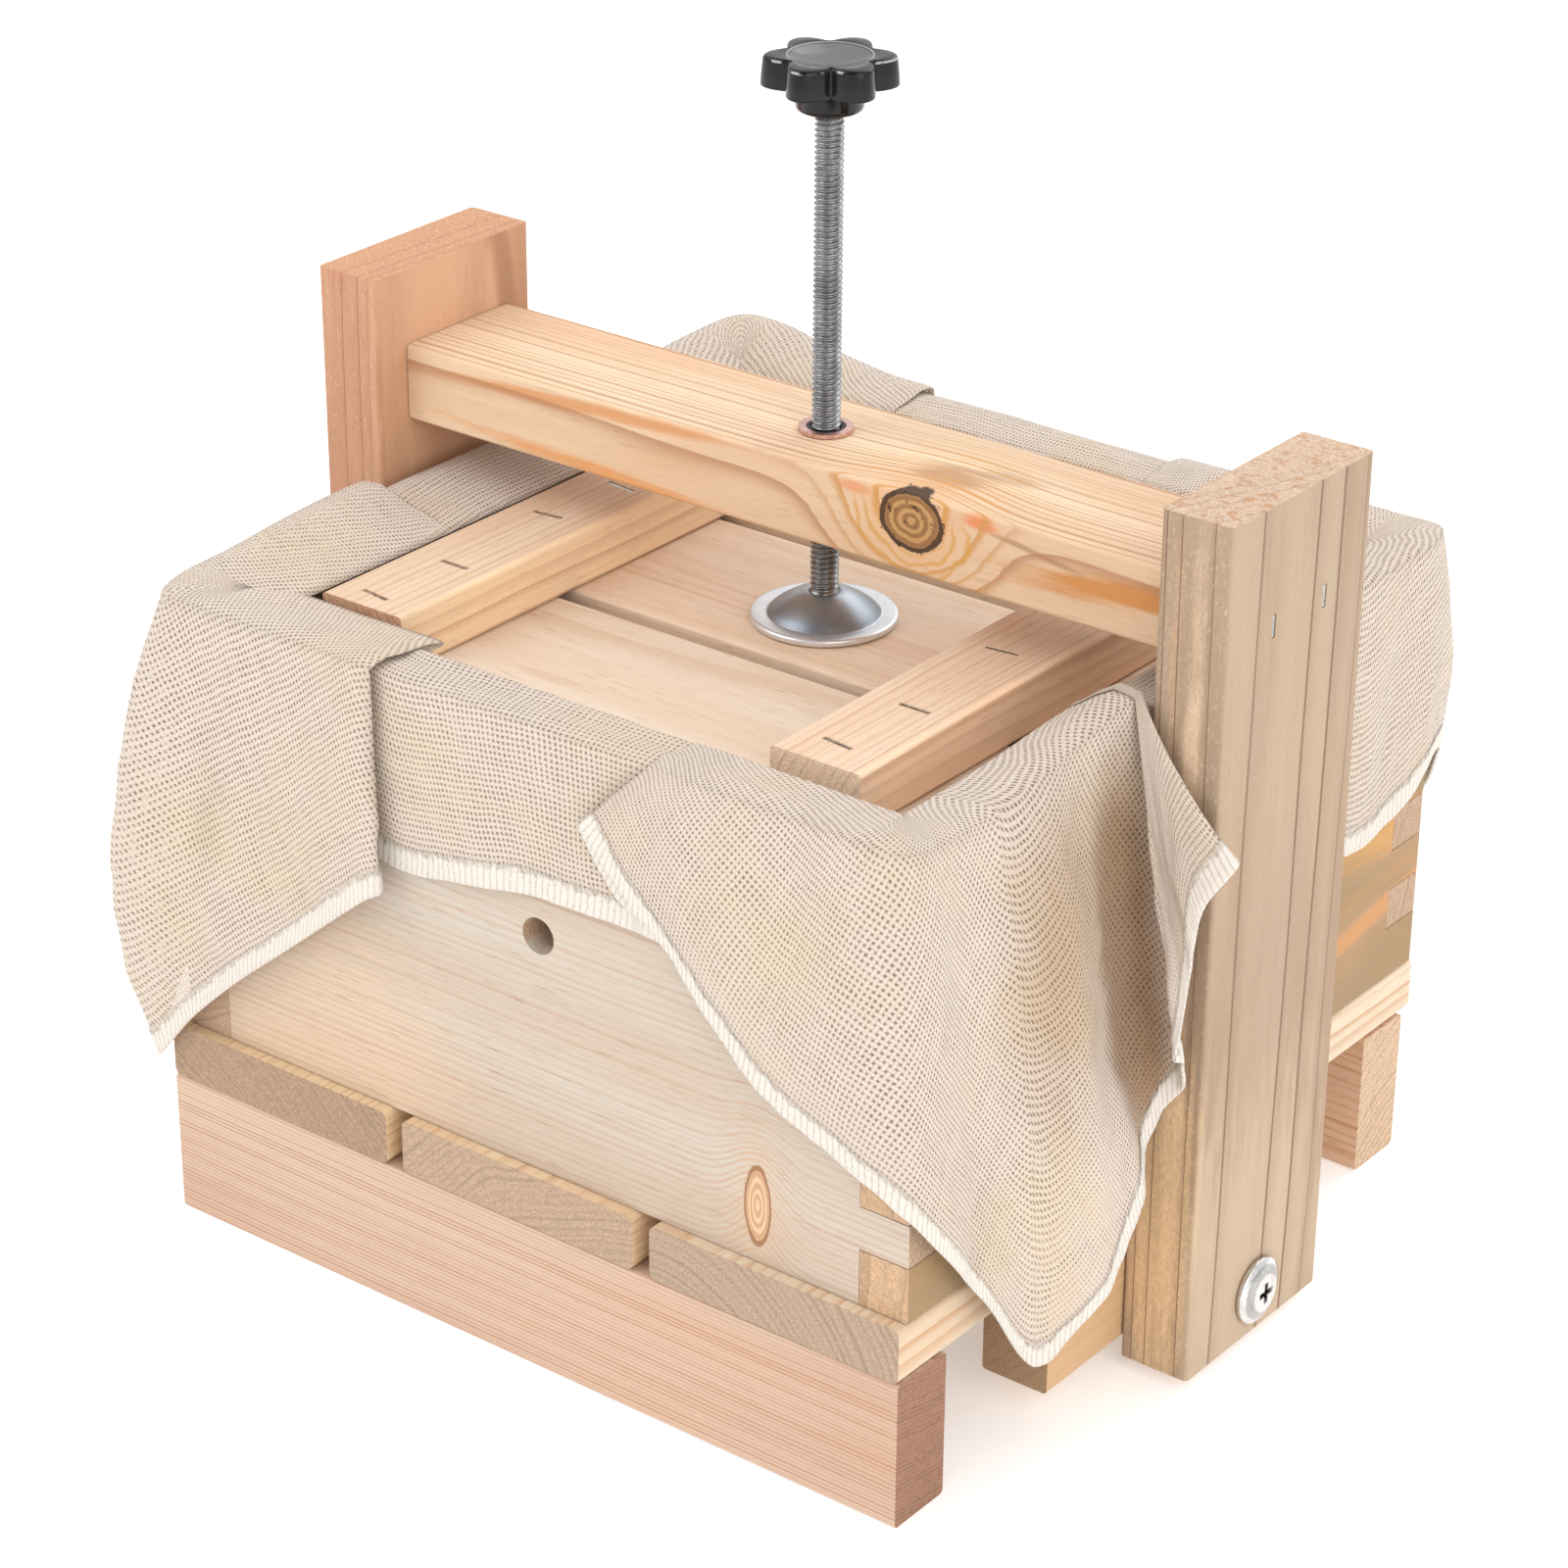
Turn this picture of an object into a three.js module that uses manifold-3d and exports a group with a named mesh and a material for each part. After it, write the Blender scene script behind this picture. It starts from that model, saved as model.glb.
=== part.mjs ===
// A wooden cheese press: a finger-jointed mould on a slatted base, lined with cheesecloth, and a
// pressing board driven by a hand screw that runs through the crossbeam of a bolted frame.
// Millimetres, +Z up. The origin is on the floor, at the centre of the base's footprint.
// +X runs to the right along the front, +Y to the back.

import * as THREE from 'three';
import Module from 'manifold-3d';
import { mergeVertices } from 'three/addons/utils/BufferGeometryUtils.js';

const wasm = await Module();
wasm.setup();

// ---------------------------------------------------------------- driving dimensions
const GAP = 0.3;                 // seam between two pieces that touch
const PLANK_EDGE = 1.2;          // eased edge of the planed boards

const BASE_WIDTH = 250;
const BASE_DEPTH = 246;
const SLAT_COUNT = 3;
const SLAT_GAP = 5.75;           // whey drains through these
const SLAT_THICKNESS = 16;

const RUNNER_THICKNESS = 20.5;
const RUNNER_HEIGHT = 43;
const REAR_RUNNER_INSET = 3.5;

const MOULD_WIDTH = 246;
const MOULD_DEPTH = 241;
const MOULD_CENTRE = new THREE.Vector2(2, 1);
const WALL_THICKNESS = 15;
const LOWEST_FINGER = 16;
const FINGER = 12.4;
const FINGERS_ABOVE = 9;         // fingers over the lowest one, taken in turn by front and side
const DRAIN_HOLE = { diameter: 10.4, x: 7, z: 129 };

const UPRIGHT = { thickness: 21, width: 64, bottom: 3.75, top: 247.5 };
const UPRIGHT_INNER_X = 128.3;   // inner face of each upright from the middle
const FRAME_Y = 5.4;             // middle of the uprights
const CROSSBEAM = { width: 43.4, height: 22, top: 226, y: 6.8 };

const BLOCK = { thickness: 20.5, length: 132.6, bottom: 9 };
const BOLT = { z: 17, shank: 6, length: 35, head: 19, headHeight: 3.6 };
const BLOCK_INSERT = { diameter: 10, length: 18 };

const SCREW = { x: 1.4, diameter: 7.8, bottom: 177.5, top: 322, ball: 9.6 };
const BEAM_INSERT = { flange: 14.8, flangeHeight: 1.3, diameter: 11, length: 13 };
const SCREW_CLEARANCE = 0.3;     // radial, in the two inserts
const KNOB = { tip: 17.9, valley: 12.9, bottom: 319.7, top: 328, hub: 9.1, hubBottom: 313.5 };
const KNOB_DISH = { diameter: 21.6, depth: 2.6 };
const KNOB_LOBES = 6;
const KNOB_TURN = 38 * Math.PI / 180;   // the first lobe's angle from +X
const FOOT = { rim: 40.4, rimHeight: 2, cone: 31, coneHeight: 7.4, neck: 9 };

const BOARD_TOP = 171.5;         // top of the pressing board's slats
const BOARD_SLAT_THICKNESS = 16;
const BOARD_X = [-103, 100];
const BOARD_SLATS_Y = [[-91, -26.5], [-20.5, 44], [49.5, 103.6]];
const BATTEN_THICKNESS = 16;
const BATTEN_WIDTH = 28;
const BATTENS_X = [-77, 73];

const WIDE_STAPLE = { crown: 9, leg: 27, wire: 1 };
const NARROW_STAPLE = { crown: 5.8, leg: 35, wire: 1 };

const CLOTH_THICKNESS = 0.8;
const CLOTH_SKIRT = 50;          // how far it hangs outside the walls between the corners
const CLOTH_CLEARANCE = 1.4;     // between the hanging corners and the base's edges

// ---------------------------------------------------------------- heights that follow
const SLAT_BOTTOM = RUNNER_HEIGHT + GAP;
const SLAT_TOP = SLAT_BOTTOM + SLAT_THICKNESS;
const MOULD_BOTTOM = SLAT_TOP + GAP;
const MOULD_HEIGHT = LOWEST_FINGER + FINGERS_ABOVE * FINGER;
const RIM = MOULD_BOTTOM + MOULD_HEIGHT;
const SLAT_WIDTH = (BASE_WIDTH - (SLAT_COUNT - 1) * SLAT_GAP) / SLAT_COUNT;
const MOULD = {
  x0: MOULD_CENTRE.x - MOULD_WIDTH / 2,
  x1: MOULD_CENTRE.x + MOULD_WIDTH / 2,
  y0: MOULD_CENTRE.y - MOULD_DEPTH / 2,
  y1: MOULD_CENTRE.y + MOULD_DEPTH / 2,
};

// ---------------------------------------------------------------- finishes
const FINISHES = {
  pine: { color: 0xe6c79c, roughness: 0.62, metalness: 0 },
  pinkPine: { color: 0xe0b48c, roughness: 0.65, metalness: 0 },
  zincSteel: { color: 0xb9bcbd, roughness: 0.28, metalness: 1 },
  stapleWire: { color: 0x9a9a98, roughness: 0.4, metalness: 1 },
  blackPlastic: { color: 0x141517, roughness: 0.22, metalness: 0 },
  brass: { color: 0xb08d57, roughness: 0.35, metalness: 1 },
  cheesecloth: { color: 0xede0c8, roughness: 0.95, metalness: 0 },
};

function piece(group, name, geometry, finish) {
  const mesh = new THREE.Mesh(geometry, new THREE.MeshStandardMaterial(FINISHES[finish]));
  mesh.name = name;
  group.add(mesh);
  return mesh;
}

// ---------------------------------------------------------------- joining and cutting
function toSolid(geometry) {
  const bare = geometry.clone();
  for (const attribute of ['normal', 'uv']) bare.deleteAttribute(attribute);
  const merged = mergeVertices(bare, 1e-4);
  return new wasm.Manifold(new wasm.Mesh({
    numProp: 3,
    vertProperties: new Float32Array(merged.attributes.position.array),
    triVerts: new Uint32Array(merged.index.array),
  }));
}

function toGeometry(solid) {
  const { vertProperties, triVerts } = solid.getMesh();
  const geometry = new THREE.BufferGeometry();
  geometry.setAttribute('position', new THREE.BufferAttribute(vertProperties, 3));
  geometry.setIndex(new THREE.BufferAttribute(triVerts, 1));
  geometry.computeVertexNormals();
  return geometry;
}

function cut(geometry, tools) {
  return toGeometry(tools.reduce((solid, tool) => solid.subtract(toSolid(tool)), toSolid(geometry)));
}

function join(geometries) {
  const [first, ...rest] = geometries.map(toSolid);
  return toGeometry(rest.reduce((solid, other) => solid.add(other), first));
}

// ---------------------------------------------------------------- basic shapes
function block([x0, x1], [y0, y1], [z0, z1]) {
  const box = new THREE.BoxGeometry(x1 - x0, y1 - y0, z1 - z0);
  return box.translate((x0 + x1) / 2, (y0 + y1) / 2, (z0 + z1) / 2);
}

function easedRectangle(width, height, edge) {
  const [w, h] = [width / 2, height / 2];
  const shape = new THREE.Shape();
  shape.moveTo(-w + edge, -h);
  shape.lineTo(w - edge, -h);
  shape.absarc(w - edge, -h + edge, edge, -Math.PI / 2, 0);
  shape.lineTo(w, h - edge);
  shape.absarc(w - edge, h - edge, edge, 0, Math.PI / 2);
  shape.lineTo(-w + edge, h);
  shape.absarc(-w + edge, h - edge, edge, Math.PI / 2, Math.PI);
  shape.lineTo(-w, -h + edge);
  shape.absarc(-w + edge, -h + edge, edge, Math.PI, 1.5 * Math.PI);
  return shape;
}

function extrude(shape, depth, curveSegments = 3) {
  return new THREE.ExtrudeGeometry(shape, { depth, bevelEnabled: false, curveSegments });
}

// Turn an extrusion so that it runs along X (section in YZ) or along Y (section in XZ).
function alongX(geometry) {
  return geometry.rotateX(Math.PI / 2).rotateZ(Math.PI / 2);
}

function alongY(geometry, depth) {
  return geometry.rotateX(Math.PI / 2).translate(0, depth, 0);
}

// A planed board between two corners, with the edges along its length eased.
function plank(axis, [x0, x1], [y0, y1], [z0, z1], edge = PLANK_EDGE) {
  const [dx, dy, dz] = [x1 - x0, y1 - y0, z1 - z0];
  const centre = [(x0 + x1) / 2, (y0 + y1) / 2, (z0 + z1) / 2];
  if (axis === 'x') {
    return alongX(extrude(easedRectangle(dy, dz, edge), dx)).translate(x0, centre[1], centre[2]);
  }
  if (axis === 'y') {
    return alongY(extrude(easedRectangle(dx, dz, edge), dy), dy).translate(centre[0], y0, centre[2]);
  }
  return extrude(easedRectangle(dx, dy, edge), dz).translate(centre[0], centre[1], z0);
}

// A turned shape about Z from [radius, height] points; both ends lie on the axis.
function turned(points, segments = 32) {
  const profile = points.map(([r, z]) => new THREE.Vector2(r, z));
  return new THREE.LatheGeometry(profile, segments).rotateX(Math.PI / 2);
}

function rod(diameter, z0, z1, segments = 24) {
  const r = diameter / 2;
  return turned([[0, z0], [r, z0], [r, z1], [0, z1]], segments);
}

// ---------------------------------------------------------------- staples
// A staple points down from the origin: crown along X, its top at z = 0.
function stapleWire({ crown, leg, wire }) {
  const [w, inner] = [crown / 2, crown / 2 - wire];
  const shape = new THREE.Shape();
  shape.moveTo(-w, 0);
  for (const [x, z] of [[-w, -leg], [-inner, -leg], [-inner, -wire], [inner, -wire]]) {
    shape.lineTo(x, z);
  }
  for (const [x, z] of [[inner, -leg], [w, -leg], [w, 0]]) shape.lineTo(x, z);
  return alongY(extrude(shape, wire), wire).translate(0, -wire / 2, 0);
}

// The slot that the driven staple leaves; it is open above the crown.
function stapleSlot({ crown, leg, wire }) {
  const [w, t] = [crown / 2 + GAP, wire / 2 + GAP];
  return block([-w, w], [-t, t], [-leg - GAP, 2]);
}

// Staples of one kind: where each one's crown is, and how its own frame is turned.
function placed(geometry, { at, turn = new THREE.Euler() }) {
  const matrix = new THREE.Matrix4().makeRotationFromEuler(turn);
  return geometry.applyMatrix4(matrix.setPosition(...at));
}

function addStaples(group, prefix, kind, places) {
  for (const [i, place] of places.entries()) {
    piece(group, `${prefix}_${i + 1}`, placed(stapleWire(kind), place), 'stapleWire');
  }
}

const slotsFor = (kind, places) => places.map((place) => placed(stapleSlot(kind), place));

// ---------------------------------------------------------------- base
const runnerFrontY = [-BASE_DEPTH / 2, -BASE_DEPTH / 2 + RUNNER_THICKNESS];
const runnerRearY = [
  BASE_DEPTH / 2 - REAR_RUNNER_INSET - RUNNER_THICKNESS,
  BASE_DEPTH / 2 - REAR_RUNNER_INSET,
];
const slatNames = ['left', 'middle', 'right'];
const slatX = slatNames.map((_, i) => -BASE_WIDTH / 2 + i * (SLAT_WIDTH + SLAT_GAP));

// Each slat is stapled to both runners, under the front and rear walls of the mould.
const STAPLE_SINK = 0.2;
const wallMiddle = (edge, inward) => edge + inward * WALL_THICKNESS / 2;
const baseStaples = slatX.flatMap((x) => [
  wallMiddle(MOULD.y0, 1),
  wallMiddle(MOULD.y1, -1),
].map((y) => ({ at: [x + SLAT_WIDTH / 2, y, SLAT_TOP - STAPLE_SINK] })));

const blockOuterX = UPRIGHT_INNER_X - GAP;
const BLOCK_STAPLE_Y = 38;       // on each side of the block's middle
const blockStaples = [-1, 1].flatMap((side) => [-1, 1].map((end) => ({
  at: [
    side * (blockOuterX - BLOCK.thickness / 2),
    FRAME_Y + end * BLOCK_STAPLE_Y,
    SLAT_TOP - STAPLE_SINK,
  ],
  turn: new THREE.Euler(0, 0, Math.PI / 2),
})));

// A hole along X through a side block or an upright, for the frame bolt or its insert.
function boltHole(diameter, x0, x1) {
  return rod(diameter, x0, x1).rotateY(Math.PI / 2).translate(0, FRAME_Y, BOLT.z);
}

function base() {
  const group = new THREE.Group();
  const slatTools = slotsFor(WIDE_STAPLE, [...baseStaples, ...blockStaples]);
  for (const [i, name] of slatNames.entries()) {
    const slat = plank('y', [slatX[i], slatX[i] + SLAT_WIDTH],
      [-BASE_DEPTH / 2, BASE_DEPTH / 2], [SLAT_BOTTOM, SLAT_TOP], 2);
    piece(group, `base_slat_${name}`, cut(slat, slatTools), 'pine');
  }
  for (const [name, y] of [['front', runnerFrontY], ['rear', runnerRearY]]) {
    const runner = plank('x', [-BASE_WIDTH / 2, BASE_WIDTH / 2], y, [0, RUNNER_HEIGHT]);
    piece(group, `runner_${name}`, cut(runner, slotsFor(WIDE_STAPLE, baseStaples)), 'pinkPine');
  }
  for (const [name, side] of [['left', -1], ['right', 1]]) {
    const x = [side * (blockOuterX - BLOCK.thickness), side * blockOuterX].sort((a, b) => a - b);
    const y = [FRAME_Y - BLOCK.length / 2, FRAME_Y + BLOCK.length / 2];
    const body = plank('y', x, y, [BLOCK.bottom, RUNNER_HEIGHT]);
    const hole = boltHole(BLOCK_INSERT.diameter + 2 * GAP, x[0] - 1, x[1] + 1);
    const tools = [hole, ...slotsFor(WIDE_STAPLE, blockStaples)];
    piece(group, `side_block_${name}`, cut(body, tools), 'pine');
  }
  addStaples(group, 'base_staple', WIDE_STAPLE, baseStaples);
  addStaples(group, 'block_staple', WIDE_STAPLE, blockStaples);
  return group;
}

// ---------------------------------------------------------------- mould
// The end of a wall, seen square on: the fingers that this wall keeps stand at `tip` and the ones
// that it gives to its neighbour are cut back to `root`. Points run up from the bottom.
function fingerEdge(tip, root, keepsLowest) {
  const points = [];
  let z = 0;
  for (let i = 0; i <= FINGERS_ABOVE; i += 1) {
    const kept = (i % 2 === 0) === keepsLowest;
    const top = z + (i === 0 ? LOWEST_FINGER : FINGER);
    const inset = kept ? GAP / 2 : -GAP / 2;
    const low = i === 0 ? z : z + inset;
    const high = i === FINGERS_ABOVE ? top : top - inset;
    points.push([kept ? tip : root, low], [kept ? tip : root, high]);
    z = top;
  }
  return points;
}

function wallShape(length, keepsLowest) {
  const [tip, root] = [length / 2, length / 2 - WALL_THICKNESS - GAP / 2];
  const right = fingerEdge(tip, root, keepsLowest);
  const left = right.map(([x, z]) => [-x, z]).reverse();
  return new THREE.Shape([...right, ...left].map(([x, z]) => new THREE.Vector2(x, z)));
}

function mould() {
  const group = new THREE.Group();
  group.position.set(MOULD_CENTRE.x, MOULD_CENTRE.y, MOULD_BOTTOM);
  for (const [name, side] of [['front', -1], ['rear', 1]]) {
    const shape = wallShape(MOULD_WIDTH, false);
    if (side < 0) {
      const hole = new THREE.Path();
      const [x, z] = [DRAIN_HOLE.x - MOULD_CENTRE.x, DRAIN_HOLE.z - MOULD_BOTTOM];
      hole.absarc(x, z, DRAIN_HOLE.diameter / 2, 0, 2 * Math.PI, true);
      shape.holes.push(hole);
    }
    const wall = alongY(extrude(shape, WALL_THICKNESS, 16), WALL_THICKNESS);
    const y = side < 0 ? -MOULD_DEPTH / 2 : MOULD_DEPTH / 2 - WALL_THICKNESS;
    piece(group, `mould_wall_${name}`, wall, 'pine').position.y = y;
  }
  for (const [name, side] of [['left', -1], ['right', 1]]) {
    const wall = alongX(extrude(wallShape(MOULD_DEPTH, true), WALL_THICKNESS));
    const x = side < 0 ? -MOULD_WIDTH / 2 : MOULD_WIDTH / 2 - WALL_THICKNESS;
    piece(group, `mould_wall_${name}`, wall, 'pine').position.x = x;
  }
  return group;
}

// ---------------------------------------------------------------- cheesecloth
// The cloth lines the mould like a tray, turns over the rim and hangs outside as a short skirt.
function clothLining() {
  const grown = (by, z) => block([MOULD.x0 - by, MOULD.x1 + by], [MOULD.y0 - by, MOULD.y1 + by], z);
  const overRim = RIM + GAP + CLOTH_THICKNESS;
  const skirt = cut(grown(GAP + CLOTH_THICKNESS, [overRim - CLOTH_SKIRT, overRim]),
    [grown(GAP, [overRim - CLOTH_SKIRT - 1, RIM + GAP])]);
  const tray = grown(-WALL_THICKNESS - GAP, [MOULD_BOTTOM, overRim]);
  const inside = grown(-WALL_THICKNESS - GAP - CLOTH_THICKNESS,
    [MOULD_BOTTOM + CLOTH_THICKNESS, overRim + 1]);
  return cut(join([skirt, tray]), [inside]);
}

// One corner of the sheet, hanging outside as two flaps that meet along the corner's edge. Each
// flap is an outline of [distance from the corner, height] points with a slab's depth.
function cornerDrape({ side, end, flapX, flapY, depthX, depthY }) {
  const cornerX = side < 0 ? -BASE_WIDTH / 2 : BASE_WIDTH / 2;
  const cornerY = end * BASE_DEPTH / 2;
  const slab = (points) => new THREE.Shape(points.map(([u, z]) => new THREE.Vector2(u, z)));
  const faceFlap = alongY(extrude(slab(flapX.map(([d, z]) => [-side * d, z])), depthY), depthY);
  faceFlap.translate(cornerX, cornerY + (end < 0 ? -depthY - CLOTH_CLEARANCE : CLOTH_CLEARANCE), 0);
  const sideFlap = alongX(extrude(slab(flapY.map(([d, z]) => [-end * d, z])), depthX));
  sideFlap.translate(cornerX + (side < 0 ? -depthX - CLOTH_CLEARANCE : CLOTH_CLEARANCE), cornerY, 0);
  return join([faceFlap, sideFlap]);
}

const CORNER_DRAPES = {
  front_left: {
    side: -1, end: -1, depthX: 12, depthY: 7,
    flapX: [[88, RIM], [88, 130], [2, 50], [-9, 64], [-9, RIM]],
    flapY: [[88, RIM], [88, 138], [42, 96], [2, 50], [-6, 64], [-6, RIM]],
  },
  front_right: {
    side: 1, end: -1, depthX: 14, depthY: 7,
    flapX: [[54, RIM], [100, 160], [0, 76], [-9, 76], [-9, RIM]],
    flapY: [[90, RIM], [90, 105], [58, 52], [46, 31], [2, 76], [-6, 76], [-6, RIM]],
  },
  rear_left: {
    side: -1, end: 1, depthX: 7, depthY: 7,
    flapX: [[80, RIM], [96, 150], [4, 66], [-6, 72], [-6, RIM]],
    flapY: [[80, RIM], [80, 116], [2, 72], [-6, 72], [-6, RIM]],
  },
  rear_right: {
    side: 1, end: 1, depthX: 7, depthY: 7,
    flapX: [[80, RIM], [96, 150], [16, 66], [-6, 118], [-6, RIM]],
    flapY: [[80, RIM], [80, 108], [2, 118], [-6, 118], [-6, RIM]],
  },
};

function cheesecloth() {
  const group = new THREE.Group();
  piece(group, 'cheesecloth_lining', clothLining(), 'cheesecloth');
  for (const [name, drape] of Object.entries(CORNER_DRAPES)) {
    piece(group, `cheesecloth_corner_${name}`, cornerDrape(drape), 'cheesecloth');
  }
  return group;
}

// ---------------------------------------------------------------- frame
// The crossbeam sits between the uprights; two long staples a side hold it.
const BEAM_STAPLES_Y = [-11.5, 12];
const beamMiddleZ = CROSSBEAM.top - CROSSBEAM.height / 2;
const beamStaples = [-1, 1].flatMap((side) => BEAM_STAPLES_Y.map((y) => ({
  at: [side * (UPRIGHT_INNER_X + UPRIGHT.thickness - STAPLE_SINK), FRAME_Y + y, beamMiddleZ],
  turn: new THREE.Euler(0, side * Math.PI / 2, 0),
})));

// A large flat head with a wide chamfer and a cross recess, pointing out along +X.
function boltHead() {
  const [r, h] = [BOLT.head / 2, BOLT.headHeight];
  const flat = r * 0.52;
  const body = turned([[0, 0], [r, 0], [r, h * 0.42], [flat, h], [0, h]], 40);
  const recess = [[1.1, 4.6], [4.6, 1.1]].map(([x, y]) => block([-x / 2, x / 2], [-y / 2, y / 2],
    [h - 1.8, h + 1]));
  return cut(body, recess);
}

function frameBolt(side) {
  const shank = rod(BOLT.shank, -BOLT.length, 0.5);
  const bolt = join([shank, boltHead()]).rotateY(side * Math.PI / 2);
  const x = side * (UPRIGHT_INNER_X + UPRIGHT.thickness + GAP);
  return bolt.translate(x, FRAME_Y, BOLT.z);
}

function blockInsert(side) {
  const [near, far] = [blockOuterX - BLOCK_INSERT.length - GAP, blockOuterX - GAP];
  const ends = [side * near, side * far].sort((a, b) => a - b);
  const barrel = boltHole(BLOCK_INSERT.diameter, ...ends);
  return cut(barrel, [boltHole(BOLT.shank + 2 * GAP, ends[0] - 1, ends[1] + 1)]);
}

function pressFrame() {
  const group = new THREE.Group();
  const slots = slotsFor(NARROW_STAPLE, beamStaples);
  for (const [name, side] of [['left', -1], ['right', 1]]) {
    const x = [side * UPRIGHT_INNER_X, side * (UPRIGHT_INNER_X + UPRIGHT.thickness)];
    x.sort((a, b) => a - b);
    const y = [FRAME_Y - UPRIGHT.width / 2, FRAME_Y + UPRIGHT.width / 2];
    const body = plank('z', x, y, [UPRIGHT.bottom, UPRIGHT.top]);
    const hole = boltHole(BOLT.shank + 2 * GAP, x[0] - 1, x[1] + 1);
    piece(group, `upright_${name}`, cut(body, [hole, ...slots]), side < 0 ? 'pinkPine' : 'pine');
    piece(group, `frame_bolt_${name}`, frameBolt(side), 'zincSteel');
    piece(group, `block_insert_${name}`, blockInsert(side), 'brass');
  }
  const end = UPRIGHT_INNER_X - GAP;
  const halfWidth = CROSSBEAM.width / 2;
  const beam = plank('x', [-end, end], [CROSSBEAM.y - halfWidth, CROSSBEAM.y + halfWidth],
    [CROSSBEAM.top - CROSSBEAM.height, CROSSBEAM.top]);
  const seat = CROSSBEAM.top - BEAM_INSERT.length - GAP;
  const screwHole = rod(SCREW.diameter + 1.6, CROSSBEAM.top - CROSSBEAM.height - 1, seat + 1);
  const insertHole = rod(BEAM_INSERT.diameter + 2 * GAP, seat, CROSSBEAM.top + 1);
  const holes = [screwHole, insertHole].map((hole) => hole.translate(SCREW.x, CROSSBEAM.y, 0));
  piece(group, 'crossbeam', cut(beam, [...holes, ...slots]), 'pine');
  addStaples(group, 'crossbeam_staple', NARROW_STAPLE, beamStaples);

  const bore = SCREW.diameter + 2 * SCREW_CLEARANCE;
  const { flange, flangeHeight, diameter, length } = BEAM_INSERT;
  const insert = turned([[0, -length], [diameter / 2, -length], [diameter / 2, GAP],
    [flange / 2, GAP], [flange / 2, flangeHeight], [0, flangeHeight]]);
  const threaded = cut(insert, [rod(bore, -length - 1, flangeHeight + 1)]);
  piece(group, 'crossbeam_insert', threaded, 'brass')
    .position.set(SCREW.x, CROSSBEAM.y, CROSSBEAM.top);
  return group;
}

// ---------------------------------------------------------------- pressing board
const BATTEN_STAPLES_Y = [-84, -56, -14, 14, 62, 90];
const battenBottom = BOARD_TOP + GAP;
const battenTop = battenBottom + BATTEN_THICKNESS;
const battenStaples = BATTENS_X.flatMap((x, row) => BATTEN_STAPLES_Y.map((y, i) => ({
  at: [x + (i % 2 ? 1.5 : -1.5), y + 4 * row, battenTop - STAPLE_SINK],
  turn: new THREE.Euler(0, 0, (i % 3 - 1) * 0.12),
})));

function pressingBoard() {
  const group = new THREE.Group();
  const slots = slotsFor(WIDE_STAPLE, battenStaples);
  const slatZ = [BOARD_TOP - BOARD_SLAT_THICKNESS, BOARD_TOP];
  for (const [i, y] of BOARD_SLATS_Y.entries()) {
    const slat = plank('x', BOARD_X, y, slatZ);
    piece(group, `board_slat_${['front', 'middle', 'rear'][i]}`, cut(slat, slots), 'pine');
  }
  const length = [BOARD_SLATS_Y[0][0], BOARD_SLATS_Y[2][1]];
  for (const [i, x] of BATTENS_X.entries()) {
    const batten = plank('y', [x - BATTEN_WIDTH / 2, x + BATTEN_WIDTH / 2], length,
      [battenBottom, battenTop]);
    piece(group, `board_batten_${['left', 'right'][i]}`, cut(batten, slots), 'pine');
  }
  addStaples(group, 'board_staple', WIDE_STAPLE, battenStaples);
  return group;
}

// ---------------------------------------------------------------- screw, knob and foot
// The rod ends in a ball that turns in the foot's socket.
function threadedRod() {
  const [r, ball] = [SCREW.diameter / 2, SCREW.ball / 2];
  const points = [[0, SCREW.bottom - ball]];
  const steps = 6;
  const neckAngle = Math.acos(r / ball);
  for (let i = 1; i <= steps; i += 1) {
    const a = -Math.PI / 2 + (neckAngle + Math.PI / 2) * i / steps;
    points.push([ball * Math.cos(a), SCREW.bottom + ball * Math.sin(a)]);
  }
  points.push([r, SCREW.top], [0, SCREW.top]);
  return turned(points);
}

// The knob's outline: broad lobes with narrow valleys between them.
function starOutline(lobes, tip, valley) {
  const steps = lobes * 10;
  const points = [];
  for (let i = 0; i < steps; i += 1) {
    const a = 2 * Math.PI * i / steps;
    const wave = 0.5 + 0.5 * Math.cos(lobes * a);
    const r = valley + (tip - valley) * wave ** 0.65;
    points.push(new THREE.Vector2(r * Math.cos(a + KNOB_TURN), r * Math.sin(a + KNOB_TURN)));
  }
  return new THREE.Shape(points);
}

const KNOB_BEVEL = 1;
const KNOB_INSERT = { diameter: 11, top: 322.6 };

function starKnob() {
  const star = new THREE.ExtrudeGeometry(
    starOutline(KNOB_LOBES, KNOB.tip - KNOB_BEVEL, KNOB.valley - KNOB_BEVEL),
    {
      depth: KNOB.top - KNOB.bottom - 2 * KNOB_BEVEL,
      bevelSize: KNOB_BEVEL,
      bevelThickness: KNOB_BEVEL,
      bevelSegments: 2,
    },
  ).translate(0, 0, KNOB.bottom + KNOB_BEVEL);
  const hub = turned([[0, KNOB.hubBottom], [KNOB.hub - 0.8, KNOB.hubBottom],
    [KNOB.hub, KNOB.hubBottom + 2], [KNOB.hub, KNOB.bottom + 2], [0, KNOB.bottom + 2]]);
  const [r, depth] = [KNOB_DISH.diameter / 2, KNOB_DISH.depth];
  const sphere = (r * r + depth * depth) / (2 * depth);
  const dish = new THREE.SphereGeometry(sphere, 48, 96)
    .rotateX(Math.PI / 2).translate(0, 0, KNOB.top + sphere - depth);
  const slice = toGeometry(toSolid(dish).intersect(toSolid(rod(60, KNOB.bottom, KNOB.top + 2))));
  const bore = rod(KNOB_INSERT.diameter + 2 * GAP, KNOB.hubBottom - 1, KNOB_INSERT.top + GAP);
  return cut(join([star, hub]), [slice, bore]);
}

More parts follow.
